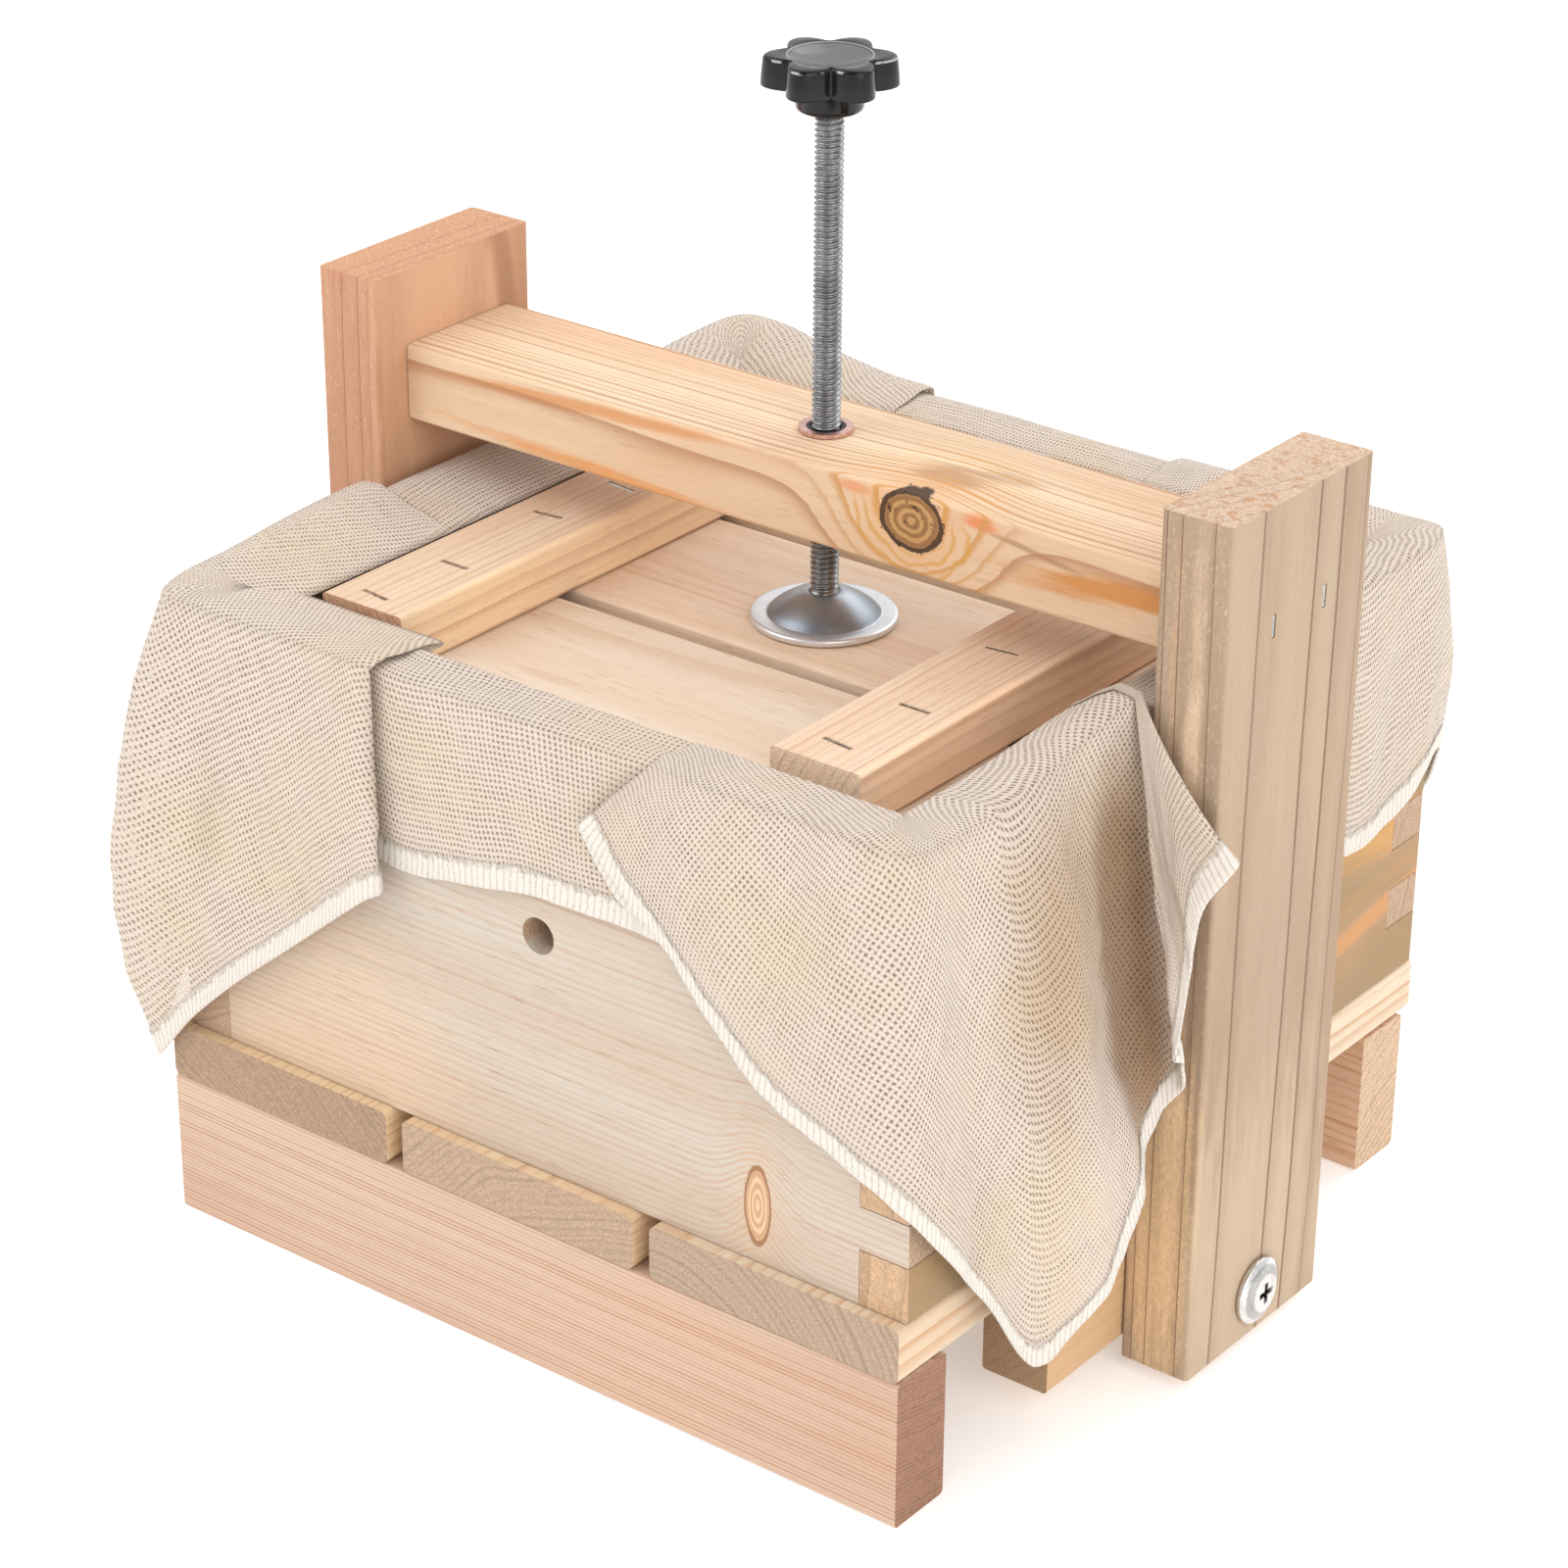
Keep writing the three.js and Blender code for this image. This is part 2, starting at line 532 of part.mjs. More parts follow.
function knobInsert() {
  const body = rod(KNOB_INSERT.diameter, KNOB.hubBottom + GAP, KNOB_INSERT.top);
  return cut(body, [rod(SCREW.diameter + 2 * GAP, KNOB.hubBottom - 1, SCREW.top + GAP)]);
}

// A pressed-steel swivel foot: flat rim, raised cone and a socket that is open underneath.
function footPlate() {
  const z0 = BOARD_TOP + GAP;
  const [rim, cone, neck] = [FOOT.rim / 2, FOOT.cone / 2, FOOT.neck / 2];
  const [rimTop, coneTop] = [z0 + FOOT.rimHeight, z0 + FOOT.rimHeight + FOOT.coneHeight];
  const sheet = 1.2;
  const outer = turned([[0, z0], [rim, z0], [rim, rimTop - 0.4], [rim - 0.4, rimTop],
    [cone, rimTop], [neck + 4.5, rimTop + 0.5 * FOOT.coneHeight], [neck, coneTop], [0, coneTop]], 48);
  const socket = turned([[0, z0 - 1], [cone - sheet, z0 - 1], [cone - sheet, z0 + 0.4],
    [SCREW.ball / 2 + GAP + 0.6, rimTop + 0.25 * FOOT.coneHeight],
    [SCREW.diameter / 2 + GAP, coneTop - sheet], [SCREW.diameter / 2 + GAP, coneTop + 1],
    [0, coneTop + 1]], 48);
  return cut(outer, [socket]);
}

function screwAndFoot() {
  const group = new THREE.Group();
  group.position.set(SCREW.x, CROSSBEAM.y, 0);
  piece(group, 'threaded_rod', threadedRod(), 'zincSteel');
  piece(group, 'star_knob', starKnob(), 'blackPlastic');
  piece(group, 'knob_insert', knobInsert(), 'brass');
  piece(group, 'foot_plate', footPlate(), 'zincSteel');
  return group;
}

// ---------------------------------------------------------------- assembly
const group = new THREE.Group();
group.add(base(), mould(), cheesecloth(), pressFrame(), pressingBoard(), screwAndFoot());

export default group;
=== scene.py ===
"""Looks for the wooden cheese press: bare pine, zinc-plated hardware, and one sheet of cheesecloth."""

import math
import bpy
import numpy as np
from mathutils import Matrix, Vector, noise


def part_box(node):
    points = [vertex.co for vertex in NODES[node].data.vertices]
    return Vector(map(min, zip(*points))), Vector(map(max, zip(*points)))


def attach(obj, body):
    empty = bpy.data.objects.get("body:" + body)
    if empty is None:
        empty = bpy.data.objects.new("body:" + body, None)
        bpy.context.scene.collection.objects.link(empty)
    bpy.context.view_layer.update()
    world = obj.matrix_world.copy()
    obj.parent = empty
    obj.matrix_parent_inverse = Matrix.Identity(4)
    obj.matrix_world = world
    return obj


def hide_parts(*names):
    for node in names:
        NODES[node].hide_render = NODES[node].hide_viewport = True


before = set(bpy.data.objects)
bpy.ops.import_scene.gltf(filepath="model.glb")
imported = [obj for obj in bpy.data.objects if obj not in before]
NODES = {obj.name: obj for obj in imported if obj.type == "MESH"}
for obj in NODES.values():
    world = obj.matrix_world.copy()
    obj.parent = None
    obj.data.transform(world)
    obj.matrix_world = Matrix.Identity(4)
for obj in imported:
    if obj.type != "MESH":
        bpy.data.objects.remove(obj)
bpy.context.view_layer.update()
scene = bpy.context.scene
MM = 1000                       # the frame is in metres, and the places below are in mm


# -------------------- camera
AZIMUTH, ELEVATION, ROLL = 38.07, 27.62, 0.18       # degrees
TARGET, DISTANCE = Vector((0, -0.0233, 0.1)), 1.2
LENS, SENSOR = 100.9, 36
SHIFT_X, SHIFT_Y = 0.0215, 0.0688


def add_camera():
    """A long lens that looks down on the press from the front and the right."""
    azimuth, elevation, roll = (math.radians(a) for a in (AZIMUTH, ELEVATION, ROLL))
    back = Vector((math.sin(azimuth) * math.cos(elevation),
                   -math.cos(azimuth) * math.cos(elevation), math.sin(elevation)))
    level = Vector((math.cos(azimuth), math.sin(azimuth), 0))
    lean = back.cross(level)
    right = math.cos(roll) * level + math.sin(roll) * lean
    up = math.cos(roll) * lean - math.sin(roll) * level
    data = bpy.data.cameras.new("camera")
    data.lens, data.sensor_width = LENS, SENSOR
    data.shift_x, data.shift_y = SHIFT_X, SHIFT_Y
    data.clip_start, data.clip_end = 0.05, 50
    camera = bpy.data.objects.new("camera", data)
    place = Matrix((right, up, back)).transposed().to_4x4()
    place.translation = TARGET + back * DISTANCE
    camera.matrix_world = place
    scene.collection.objects.link(camera)
    scene.camera = camera


add_camera()


# -------------------- shader helpers
class Net:
    """Builds a node tree from nested calls; every method but set gives back output sockets."""

    def __init__(self, tree):
        self.tree = tree

    def node(self, kind, sockets=None, out=0, **settings):
        node = self.tree.nodes.new(kind)
        for name, value in settings.items():
            setattr(node, name, value)
        for key, value in (sockets or {}).items():
            self.set(node.inputs[key], value)
        return node.outputs[out]

    def set(self, socket, value):
        if isinstance(value, bpy.types.NodeSocket):
            self.tree.links.new(value, socket)
        else:
            socket.default_value = value

    def math(self, operation, *values):
        return self.node("ShaderNodeMath", dict(enumerate(values)), operation=operation)

    def plus(self, a, b):
        return self.math("ADD", a, b)

    def minus(self, a, b):
        return self.math("SUBTRACT", a, b)

    def times(self, a, b):
        return self.math("MULTIPLY", a, b)

    def over(self, a, b):
        return self.math("DIVIDE", a, b)

    def times_plus(self, a, b, c):
        return self.math("MULTIPLY_ADD", a, b, c)

    def absolute(self, value):
        return self.math("ABSOLUTE", value)

    def vector(self, operation, *values, out=0):
        return self.node("ShaderNodeVectorMath", dict(enumerate(values)), out, operation=operation)

    def scaled(self, vector, x, y, z):
        return self.vector("MULTIPLY", vector, (x, y, z))

    def length(self, vector):
        return self.vector("LENGTH", vector, out=1)

    def joined(self, *parts):
        return self.node("ShaderNodeCombineXYZ", dict(enumerate(parts)))

    def split(self, vector):
        node = self.tree.nodes.new("ShaderNodeSeparateXYZ")
        self.set(node.inputs[0], vector)
        return node.outputs

    def mix(self, factor, a, b):
        node = self.tree.nodes.new("ShaderNodeMix")
        node.data_type = "RGBA"
        for key, value in ((0, factor), (6, a), (7, b)):
            self.set(node.inputs[key], value)
        return node.outputs[2]

    def ramp(self, value, low, high, to_low=0.0, to_high=1.0, smooth=True):
        sockets = {0: value, 1: low, 2: high, 3: to_low, 4: to_high}
        kind = "SMOOTHSTEP" if smooth else "LINEAR"
        return self.node("ShaderNodeMapRange", sockets, interpolation_type=kind)

    def noise(self, vector, scale, detail=2.0, rough=0.5, out=0):
        sockets = {"Vector": vector, "Scale": scale, "Detail": detail, "Roughness": rough}
        return self.node("ShaderNodeTexNoise", sockets, out)

    def bump(self, height, distance, strength):
        return self.node("ShaderNodeBump", {"Height": height, "Distance": distance, "Strength": strength})

    def place(self):
        """Where a point lies in the press, in metres."""
        return self.node("ShaderNodeTexCoord", out=3)

    def place_mm(self):
        return self.scaled(self.place(), MM, MM, MM)


def new_material(name):
    material = bpy.data.materials.new(name)
    material.use_nodes = True
    return material, Net(material.node_tree)


def finished(material, net, looks):
    """The material, with its shader's sockets set by name to a constant or another node."""
    for name, look in looks.items():
        net.set(material.node_tree.nodes["Principled BSDF"].inputs[name], look)
    return material


def wear(piece, material):
    piece.data.materials.clear()
    piece.data.materials.append(material)


def rgb(r, g, b):
    """A linear colour from its 8-bit sRGB values."""
    return tuple((c / 255 / 12.92 if c / 255 <= 0.04045 else ((c / 255 + 0.055) / 1.055) ** 2.4)
                 for c in (r, g, b)) + (1.0,)


def shade(tone, share):
    """A linear colour from a share of an 8-bit tone."""
    return rgb(*(min(255, int(c * share)) for c in tone))


# -------------------- bare pine
AXES = {"x": "XYZ", "y": "YZX", "z": "ZXY"}
# A knot's bark, and the two tones of the wood inside it.
BARKED = ((62, 42, 34), (150, 108, 68), (194, 150, 98))
SOUND = ((150, 106, 74), (194, 154, 118), (218, 184, 150))
FAR = 1500                      # mm to a pith so far off that its rings lie flat


class Board:
    """The places in one board, in mm: along its grain, and u and v across it."""

    def __init__(self, net, grain, seed):
        self.net, self.seed = net, seed
        self.lengthwise, *others = ("XYZ".index(a) for a in AXES[grain])
        self.point = net.place_mm()
        parts = net.split(self.point)
        self.along = parts[self.lengthwise]
        self.u, self.v = (parts[k] for k in others)
        self.moved = net.vector("ADD", net.joined(self.along, self.u, self.v), (seed * 31, seed * 7, 3))
        self.grit = self.noise(0.7, 1.5, 4.0, 0.75)
        self.fibre = self.noise(0.05, 1.9, 3.0, 0.6)

    def noise(self, lengthwise, across, detail, rough=0.5, out=0):
        """Noise drawn out along the grain, from its scales per mm."""
        place = self.net.scaled(self.moved, lengthwise, across, across)
        return self.net.noise(place, 1.0, detail, rough, out)

    def away(self, centre):
        return self.net.vector("SUBTRACT", self.point, centre)

    def reach(self, centre, radii):
        """How far a point lies from a centre, where 1 is on the ellipsoid with those radii."""
        return self.net.length(self.net.vector("DIVIDE", self.away(centre), radii))

    def facing(self, axis):
        """Where the surface faces along an axis, from its number."""
        normal = self.net.split(self.net.node("ShaderNodeTexCoord", out=1))
        return self.net.ramp(self.net.absolute(normal[axis]), 0.75, 0.92)


def pith_distance(board, pith, tilt, warp):
    """How far a point lies from the pith's line, with the drift and the ripple of a real tree."""
    net = board.net
    drift = net.vector("SUBTRACT", board.noise(0.004, 0.02, 2.0, out=1), (0.5, 0.5, 0.5))
    du, dv = net.split(drift)[1:3]
    offsets = []
    for place, lean, centre, bend in ((board.u, tilt[0], pith[0], du), (board.v, tilt[1], pith[1], dv)):
        middle = net.times_plus(board.along, lean, centre)
        offsets.append(net.times_plus(bend, 14 * warp, net.minus(place, middle)))
    radius = net.math("SQRT", net.plus(*(net.times(o, o) for o in offsets)))
    return net.times_plus(board.noise(0.012, 0.12, 2.0), 1.2 * warp, radius)


def knot_reach(board, centre, radii, wild):
    """How far a point lies from a knot's middle, where 1 is on its uneven outline."""
    net = board.net
    shake = net.noise(net.vector("ADD", board.away(centre), (board.seed, 3, 9)), 0.22, 4.0, 0.6)
    return net.times_plus(shake, wild, net.minus(board.reach(centre, radii), wild / 2))


def bent_round(net, radius, reach, push):
    """The rings swell outwards round a knot."""
    swell = net.math("EXPONENT", net.times(net.times(reach, reach), -0.20))
    return net.times_plus(swell, push, radius)


def yearly_rings(board, radius, spacing, share, uneven):
    """The late wood: each ring darkens outwards to a sharp edge, and some years are fainter."""
    net = board.net
    pace = net.noise(net.joined(radius, board.seed), 0.16, 2.0)
    count = net.times_plus(pace, uneven, net.over(radius, spacing))
    phase = net.math("FRACT", count)
    late = net.times(net.ramp(phase, 1 - 1.9 * share, 0.95), net.ramp(phase, 1.0, 0.95))
    year = net.node("ShaderNodeTexWhiteNoise", {"W": net.math("FLOOR", count)}, noise_dimensions="1D")
    return net.times(late, net.ramp(year, 0.0, 1.0, 0.35, 1.0))


def with_ring(net, late, radius, ring, strength):
    """The late wood with one more dark ring, and a soft shade inside it."""
    gap = net.minus(radius, ring)
    line = net.ramp(net.absolute(gap), 0.30, 0.05, 0.0, strength)
    soft = net.times(net.ramp(gap, -2.2, 0.0, 0.0, 0.16), net.math("LESS_THAN", gap, 0))
    return net.math("MAXIMUM", late, net.math("MAXIMUM", line, soft))


def sapwood(board, light, dark, blush):
    """The pale wood between the rings, in broad drifts of tone and of pink."""
    net = board.net
    deeper = tuple(int(0.75 * a + 0.25 * b) for a, b in zip(light, dark))
    colour = net.mix(net.ramp(board.noise(0.005, 0.045, 3.0), 0.3, 0.7), rgb(*light), rgb(*deeper))
    pink = net.ramp(board.noise(0.010, 0.030, 2.0), 0.48, 0.72, 0.0, blush)
    return net.mix(pink, colour, rgb(224, 172, 138))


def stain_and_painted_light(board, colour, centre, radii, slope, tone, strength):
    """A ragged patch of another tone that leans by its slope along the board: stained wood, and on some
    shaded faces painted light.
    """
    net = board.net
    rising = "XYZ".index("X" if board.lengthwise == 2 else "Z")
    away = list(net.split(board.away(centre)))[:3]
    away[rising] = net.times_plus(away[board.lengthwise], -slope, away[rising])
    reach = net.length(net.vector("DIVIDE", net.joined(*away), radii))
    reach = net.times_plus(board.noise(0.05, 0.4, 3.0), 0.9, reach)
    return net.mix(net.ramp(reach, 1.45, 0.75, 0.0, strength), colour, rgb(*tone))


def fibres(board, colour, dark, strength):
    """Fine fibres, short dark dashes and pale specks."""
    net = board.net
    dashes = net.ramp(board.noise(0.11, 1.5, 1.0), 0.64, 0.74, 0.0, 1.6 * strength)
    specks = net.ramp(board.noise(0.35, 3.2, 2.0, 0.7), 0.60, 0.80, 0.0, 0.22)
    colour = net.mix(net.ramp(board.fibre, 0.42, 0.72, 0.0, strength), colour, rgb(*dark))
    colour = net.mix(dashes, colour, shade(dark, 0.82))
    return net.mix(specks, colour, rgb(242, 228, 206))


def gold_bands(board, colour, centre, radii):
    """Gold bands that run round the lower half of a barked knot."""
    net = board.net
    bend = net.noise(net.vector("ADD", board.away(centre), (4, 1, 2)), 0.09, 2.0)
    ring = net.times_plus(bend, 0.9, board.reach(centre, radii))
    bands = net.ramp(net.math("SINE", net.times(ring, 17)), 0.0, 0.9)
    below = net.ramp(net.split(board.away(centre))[2], 5.0, -1.0)
    near = net.times(net.ramp(ring, 1.5, 1.65), net.ramp(ring, 2.7, 2.3))
    bands = net.times(net.times(bands, below), near)
    return net.mix(net.times(bands, 0.7), colour, rgb(208, 156, 78))


def knot(board, colour, late, centre, radii, reach, tones):
    """A knot's warm surround, its own rings and cracks, and the bark along its outline."""
    net = board.net
    bark, shadow, wood = tones
    warmth = 1.0 if tones is BARKED else 0.3
    colour = net.mix(net.ramp(reach, 2.0, 0.95, 0.0, 0.36 * warmth), colour, rgb(226, 164, 106))
    swirl = net.times(net.ramp(reach, 3.4, 2.2), net.math("MINIMUM", net.times(late, 2.2), 1.0))
    colour = net.mix(net.times(swirl, 0.75 * warmth), colour, rgb(208, 152, 84))
    if tones is BARKED:
        colour = gold_bands(board, colour, centre, radii)
    arcs = net.ramp(net.math("SINE", net.times(reach, 22)), -0.7, 0.9)
    body = net.mix(arcs, rgb(*shadow), rgb(*wood))
    cracks = net.ramp(net.noise(board.point, 0.5, 3.0, 0.7), 0.57, 0.66)
    if tones is BARKED:
        body = net.mix(net.times(cracks, 0.85), body, rgb(*bark))
    colour = net.mix(net.ramp(reach, 1.04, 0.96), colour, body)
    width = net.times_plus(cracks, 0.12, 0.10)
    edge = net.over(net.absolute(net.minus(reach, 0.95)), width)
    return net.mix(net.ramp(edge, 1.0, 0.55, 0.0, 0.92), colour, rgb(*bark))


def saw_marks(board, colour, side, light):
    """A rough-sawn face: darker and paler flecks."""
    net = board.net
    colour = net.mix(net.times(side, net.ramp(board.grit, 0.60, 0.36, 0.0, 0.3)), colour, shade(light, 0.80))
    return net.mix(net.times(side, net.ramp(board.grit, 0.58, 0.76, 0.0, 0.6)), colour, rgb(248, 236, 216))


def end_grain(board, late, end):
    """A sawn end: gritty, with the rings broken by rays."""
    net = board.net
    faces = net.mix(net.ramp(board.grit, 0.36, 0.66), shade(end, 0.92), shade(end, 1.10))
    rays = net.ramp(board.noise(0.3, 0.9, 2.0), 0.25, 0.7, 1.0, 0.45)
    return net.mix(net.times(late, rays), faces, shade(end, 0.70))


def pine(name, grain, pith, spacing=2.6, share=0.3, light=(226, 202, 170), dark=(196, 148, 106),
         tilt=(0, 0), contrast=0.6, warp=1.0, end=(188, 158, 132), knots=(), lines=(), stains_and_painted_light=(),
         blush=0.22, grain_noise=0.2, uneven=2.4, sawn=None, torn=0.0, seed=0):
    """Pine with its yearly rings round a pith line.

    grain is the board's axis. pith is the line's place in the other two axes, in mm, and tilt
    leans it, in mm per mm. share is the dark part of each ring. knots are (centre, radii, push,
    tones), where push is how far the rings bend round it. lines are (place, strength) of single
    dark rings, each through a point in the other two axes. stains_and_painted_light are (centre,
    radii, slope, tone, strength): stained patches, and on some shaded faces painted light. blush
    is how pink it is in places, grain_noise how much its fibres show, and uneven how much the
    rings' spacing varies. sawn is the axis of a rough-sawn face, and torn how much the ends'
    fibres are torn.
    """
    material, net = new_material(name)
    board = Board(net, grain, seed)

    radius = pith_distance(board, pith, tilt, warp)
    knot_looks = []
    for centre, radii, push, tones in knots:
        reach = knot_reach(board, centre, radii, 0.22 if tones is BARKED else 0.16)
        radius = bent_round(net, radius, reach, push)
        knot_looks.append((centre, radii, reach, tones))
    late = net.times(yearly_rings(board, radius, spacing, share, uneven), contrast)
    for place, strength in lines:
        ring = math.hypot(place[0] - pith[0], place[1] - pith[1]) + 0.6 * warp
        late = with_ring(net, late, radius, ring, strength)

    colour = sapwood(board, light, dark, blush)
    for look in stains_and_painted_light:
        colour = stain_and_painted_light(board, colour, *look)
    colour = net.mix(late, colour, rgb(*dark))
    colour = fibres(board, colour, dark, grain_noise)
    for look in knot_looks:
        colour = knot(board, colour, late, *look)

    is_end = board.facing(board.lengthwise)
    rough = is_end
    if sawn:
        side = board.facing("XYZ".index(sawn))
        rough = net.math("MAXIMUM", is_end, net.times(side, 0.7))
        colour = saw_marks(board, colour, side, light)
    ends = end_grain(board, late, end)
    if torn:
        pits = net.noise(net.scaled(board.moved, 0.4, 0.34, 0.62), 1.0, 3.0, 0.65)
        ends = net.mix(net.ramp(pits, 0.57, 0.63, 0.0, torn), ends, rgb(206, 148, 100))
        rough = net.times_plus(net.ramp(pits, 0.55, 0.63), is_end, rough)
    dull = net.times_plus(net.plus(is_end, board.fibre), 0.14, 0.6)
    height = net.times_plus(board.fibre, 0.6, net.times(late, -0.25))
    height = net.times_plus(net.times(board.grit, rough), 1.8, height)
    return finished(material, net, {
        "Base Color": net.mix(is_end, colour, ends), "Roughness": dull, "Specular IOR Level": 0.3,
        "Normal": net.bump(height, 0.00022, 0.8)})


def far_pith(place, angle):
    """A pith so far off that the rings lie flat, square to a line at that angle through a place."""
    lean = math.radians(angle)
    return (place[0] - FAR * math.cos(lean), place[1] - FAR * math.sin(lean))


# Each board: its grain, where its pith lies in the other two axes, and what sets it apart.
GREY_BROWN, ORANGE, YELLOW, RUST = (164, 126, 98), (218, 150, 92), (214, 160, 92), (226, 136, 86)
BOARDS = {
    "runner_front": dict(grain="x", pith=(-70, 260), spacing=1.22, share=0.42, light=(206, 182, 160),
        dark=(172, 120, 92), contrast=0.8, end=(160, 120, 98), warp=0.3, blush=0.12, grain_noise=0.06,
        uneven=1),
    "runner_rear": dict(grain="x", pith=(160, -60), spacing=2.6, light=(222, 192, 164), dark=(190, 132, 92),
        contrast=0.8, end=(210, 180, 150)),
    "base_slat_left": dict(grain="y", pith=(-60, -190), spacing=2.4, light=(228, 204, 168),
        end=(170, 142, 118)),
    "base_slat_middle": dict(grain="y", pith=(-30, 50), spacing=2.4, light=(230, 206, 172),
        end=(184, 157, 133)),
    "base_slat_right": dict(grain="y", pith=(6, 46), spacing=2.5, light=(222, 206, 182), contrast=0.8,
        end=(180, 156, 134), warp=0.5),
    "side_block_left": dict(grain="y", pith=(60, -160), spacing=3, light=(222, 188, 146)),
    "side_block_right": dict(grain="y", pith=(60, 60), spacing=3, light=(204, 174, 134),
        end=(172, 142, 110)),
    "mould_wall_front": dict(grain="x", pith=(-190, 190), spacing=1.75, share=0.36, light=(198, 188, 174),
        dark=(180, 140, 110), contrast=0.45, warp=0.5, blush=0.06, end=(192, 162, 134),
        knots=[((78, -120, 76), (4.2, 30, 11.5), 9, SOUND)],
        stains_and_painted_light=[((-70, -120, 70), (70, 40, 60), 0, (226, 190, 152), 0.35)]),
    "mould_wall_rear": dict(grain="x", pith=(190, 60), spacing=3.2, light=(226, 206, 178)),
    "mould_wall_left": dict(grain="y", pith=(170, -180), spacing=3, light=(214, 184, 142)),
    "mould_wall_right": dict(grain="y", pith=(60, 30), spacing=5, light=(152, 130, 100),
        dark=(188, 136, 80), contrast=0.7, end=(202, 168, 134),
        stains_and_painted_light=[((125, 100, 108), (30, 50, 9), -0.1, YELLOW, 0.7),
                ((125, 100, 84), (30, 60, 5), 0.15, ORANGE, 0.55)]),
    "board_slat_front": dict(grain="x", pith=(-58, 60), spacing=3.2, light=(233, 218, 200), blush=0.1,
        contrast=0.3),
    "board_slat_middle": dict(grain="x", pith=(90, 30), spacing=3.4, light=(236, 216, 196), blush=0.1,
        contrast=0.3),
    "board_slat_rear": dict(grain="x", pith=(60, 90), spacing=3.2, light=(255, 246, 232), blush=0.1,
        contrast=0.3),
    "board_batten_left": dict(grain="y", pith=(110, -190), spacing=2.5, share=0.35, light=(226, 204, 180),
        dark=(200, 154, 116), end=(222, 172, 138),
        # painted light: this patch lightens the batten's +X side, which lies in shade under the cloth
        stains_and_painted_light=[((-62, -20, 179), (5, 220, 26), 0, (246, 214, 174), 0.85)], contrast=0.65, warp=0.6),
    "board_batten_right": dict(grain="y", pith=(130, 184), spacing=2.7, share=0.35, light=(230, 206, 182),
        dark=(200, 152, 114), end=(255, 214, 184),
        # painted light: this patch lightens the batten's +X side, which lies in shade under the cloth
        stains_and_painted_light=[((88, -20, 179), (5, 220, 26), 0, (255, 218, 184), 0.8)], contrast=0.65, warp=0.6),
    "upright_left": dict(grain="z", pith=far_pith((-138, 5), -3), spacing=7, share=0.2, warp=0.25,
        light=(214, 170, 136), dark=(140, 88, 62), contrast=0.12, blush=0.15, grain_noise=0.08,
        tilt=(0.012, 0), lines=[((-143.6, -26.6), 0.75), ((-137.6, -26.6), 0.8), ((-134, -26.6), 0.55),
                                ((-130.2, -26.6), 0.5)], end=(206, 157, 124), sawn="Y",
        stains_and_painted_light=[((-143, 5, 248), (9, 60, 14), 0, (198, 128, 98), 0.6),
                ((-139, -27, 150), (30, 3, 160), 0, (186, 130, 102), 0.7)]),
    "upright_right": dict(grain="z", pith=far_pith((139, 5), -20.6), spacing=8, share=0.2, warp=0.2,
        light=(178, 156, 132), dark=(116, 76, 54), contrast=0.10, blush=0.08, grain_noise=0.07,
        tilt=(-0.008, 0), lines=[((131.8, -26.6), 0.8), ((136.2, -26.6), 0.8), ((145.6, -26.6), 0.7),
                                 ((128, -26.6), 0.45)], end=(208, 180, 156), sawn="Y", torn=0.7,
        stains_and_painted_light=[((134, -26, 120), (2.2, 4, 150), 0, (222, 184, 146), 0.55),
                ((140.5, -26, 120), (4.2, 4, 170), 0, (248, 214, 180), 0.62),
                # this patch at the foot of the narrow face is partly the wood's orange and partly painted
                # light, lifting the shade there
                ((138, -27, 50), (16, 4, 80), 0, (240, 202, 154), 0.75),
                ((150, 0, 20), (5, 70, 90), 0, (198, 176, 150), 0.7)]),
    "crossbeam": dict(grain="x", pith=(170, 190), spacing=2.4, share=0.26, light=(234, 208, 176),
        dark=(176, 126, 92), contrast=0.78, grain_noise=0.12, blush=0.3, warp=0.35,
        knots=[((45.4, -14.9, 218.6), (9.8, 13, 8.2), 9, BARKED)],
        stains_and_painted_light=[((-70, -15, 222.5), (80, 2.5, 2.6), 0.045, (212, 148, 92), 0.8),
                ((-60, -15, 206), (70, 2.5, 2.8), -0.04, (222, 156, 96), 0.85),
                ((110, -15, 216), (44, 2.5, 6), 0.1, (204, 138, 74), 0.95),
                ((67, -15, 223.5), (8, 3, 3), 0, RUST, 0.85),
                ((86, -15, 219.5), (22, 2.5, 1.3), -0.14, GREY_BROWN, 0.7),
                ((27, -15, 223.5), (8, 3, 2.6), 0, RUST, 0.6),
                ((46, 1, 226), (16, 10, 2), 0, GREY_BROWN, 0.75),
                ((60, 9, 226), (14, 5, 2), 0, GREY_BROWN, 0.5)]),
}
for number, (name, look) in enumerate(BOARDS.items()):
    wear(NODES[name], pine(name, seed=max(0, number - 1), **look))


# -------------------- cheesecloth
def box_mm(node):
    """The lowest and highest corners of a CAD node, in mm."""
    return [[round(v * MM, 3) for v in corner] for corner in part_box(node)]


# The lowest and highest corners of the mould's outside and inside, seen from above.
OUTER = (box_mm("mould_wall_left")[0][:2], box_mm("mould_wall_right")[1][:2])
INNER = ((box_mm("mould_wall_left")[1][0], box_mm("mould_wall_front")[1][1]),
         (box_mm("mould_wall_right")[0][0], box_mm("mould_wall_rear")[0][1]))
CENTRE = (np.array(OUTER[0]) + OUTER[1]) / 2
HALF_WIDTH, HALF_DEPTH = (np.array(OUTER[1]) - OUTER[0]) / 2
RIM = 188                       # where the cloth turns over the mould's rim
FLOOR_HEIGHT = 60.4             # where the cloth lies on the slats inside
HALF_SHEET = 300
FALL_ROWS = 30                  # rows of points from the hem up to the rim
HEM_ROWS = 12                   # as many of them as the hem's width needs
POINT_STEP = 2.2                # mm between points along the hem
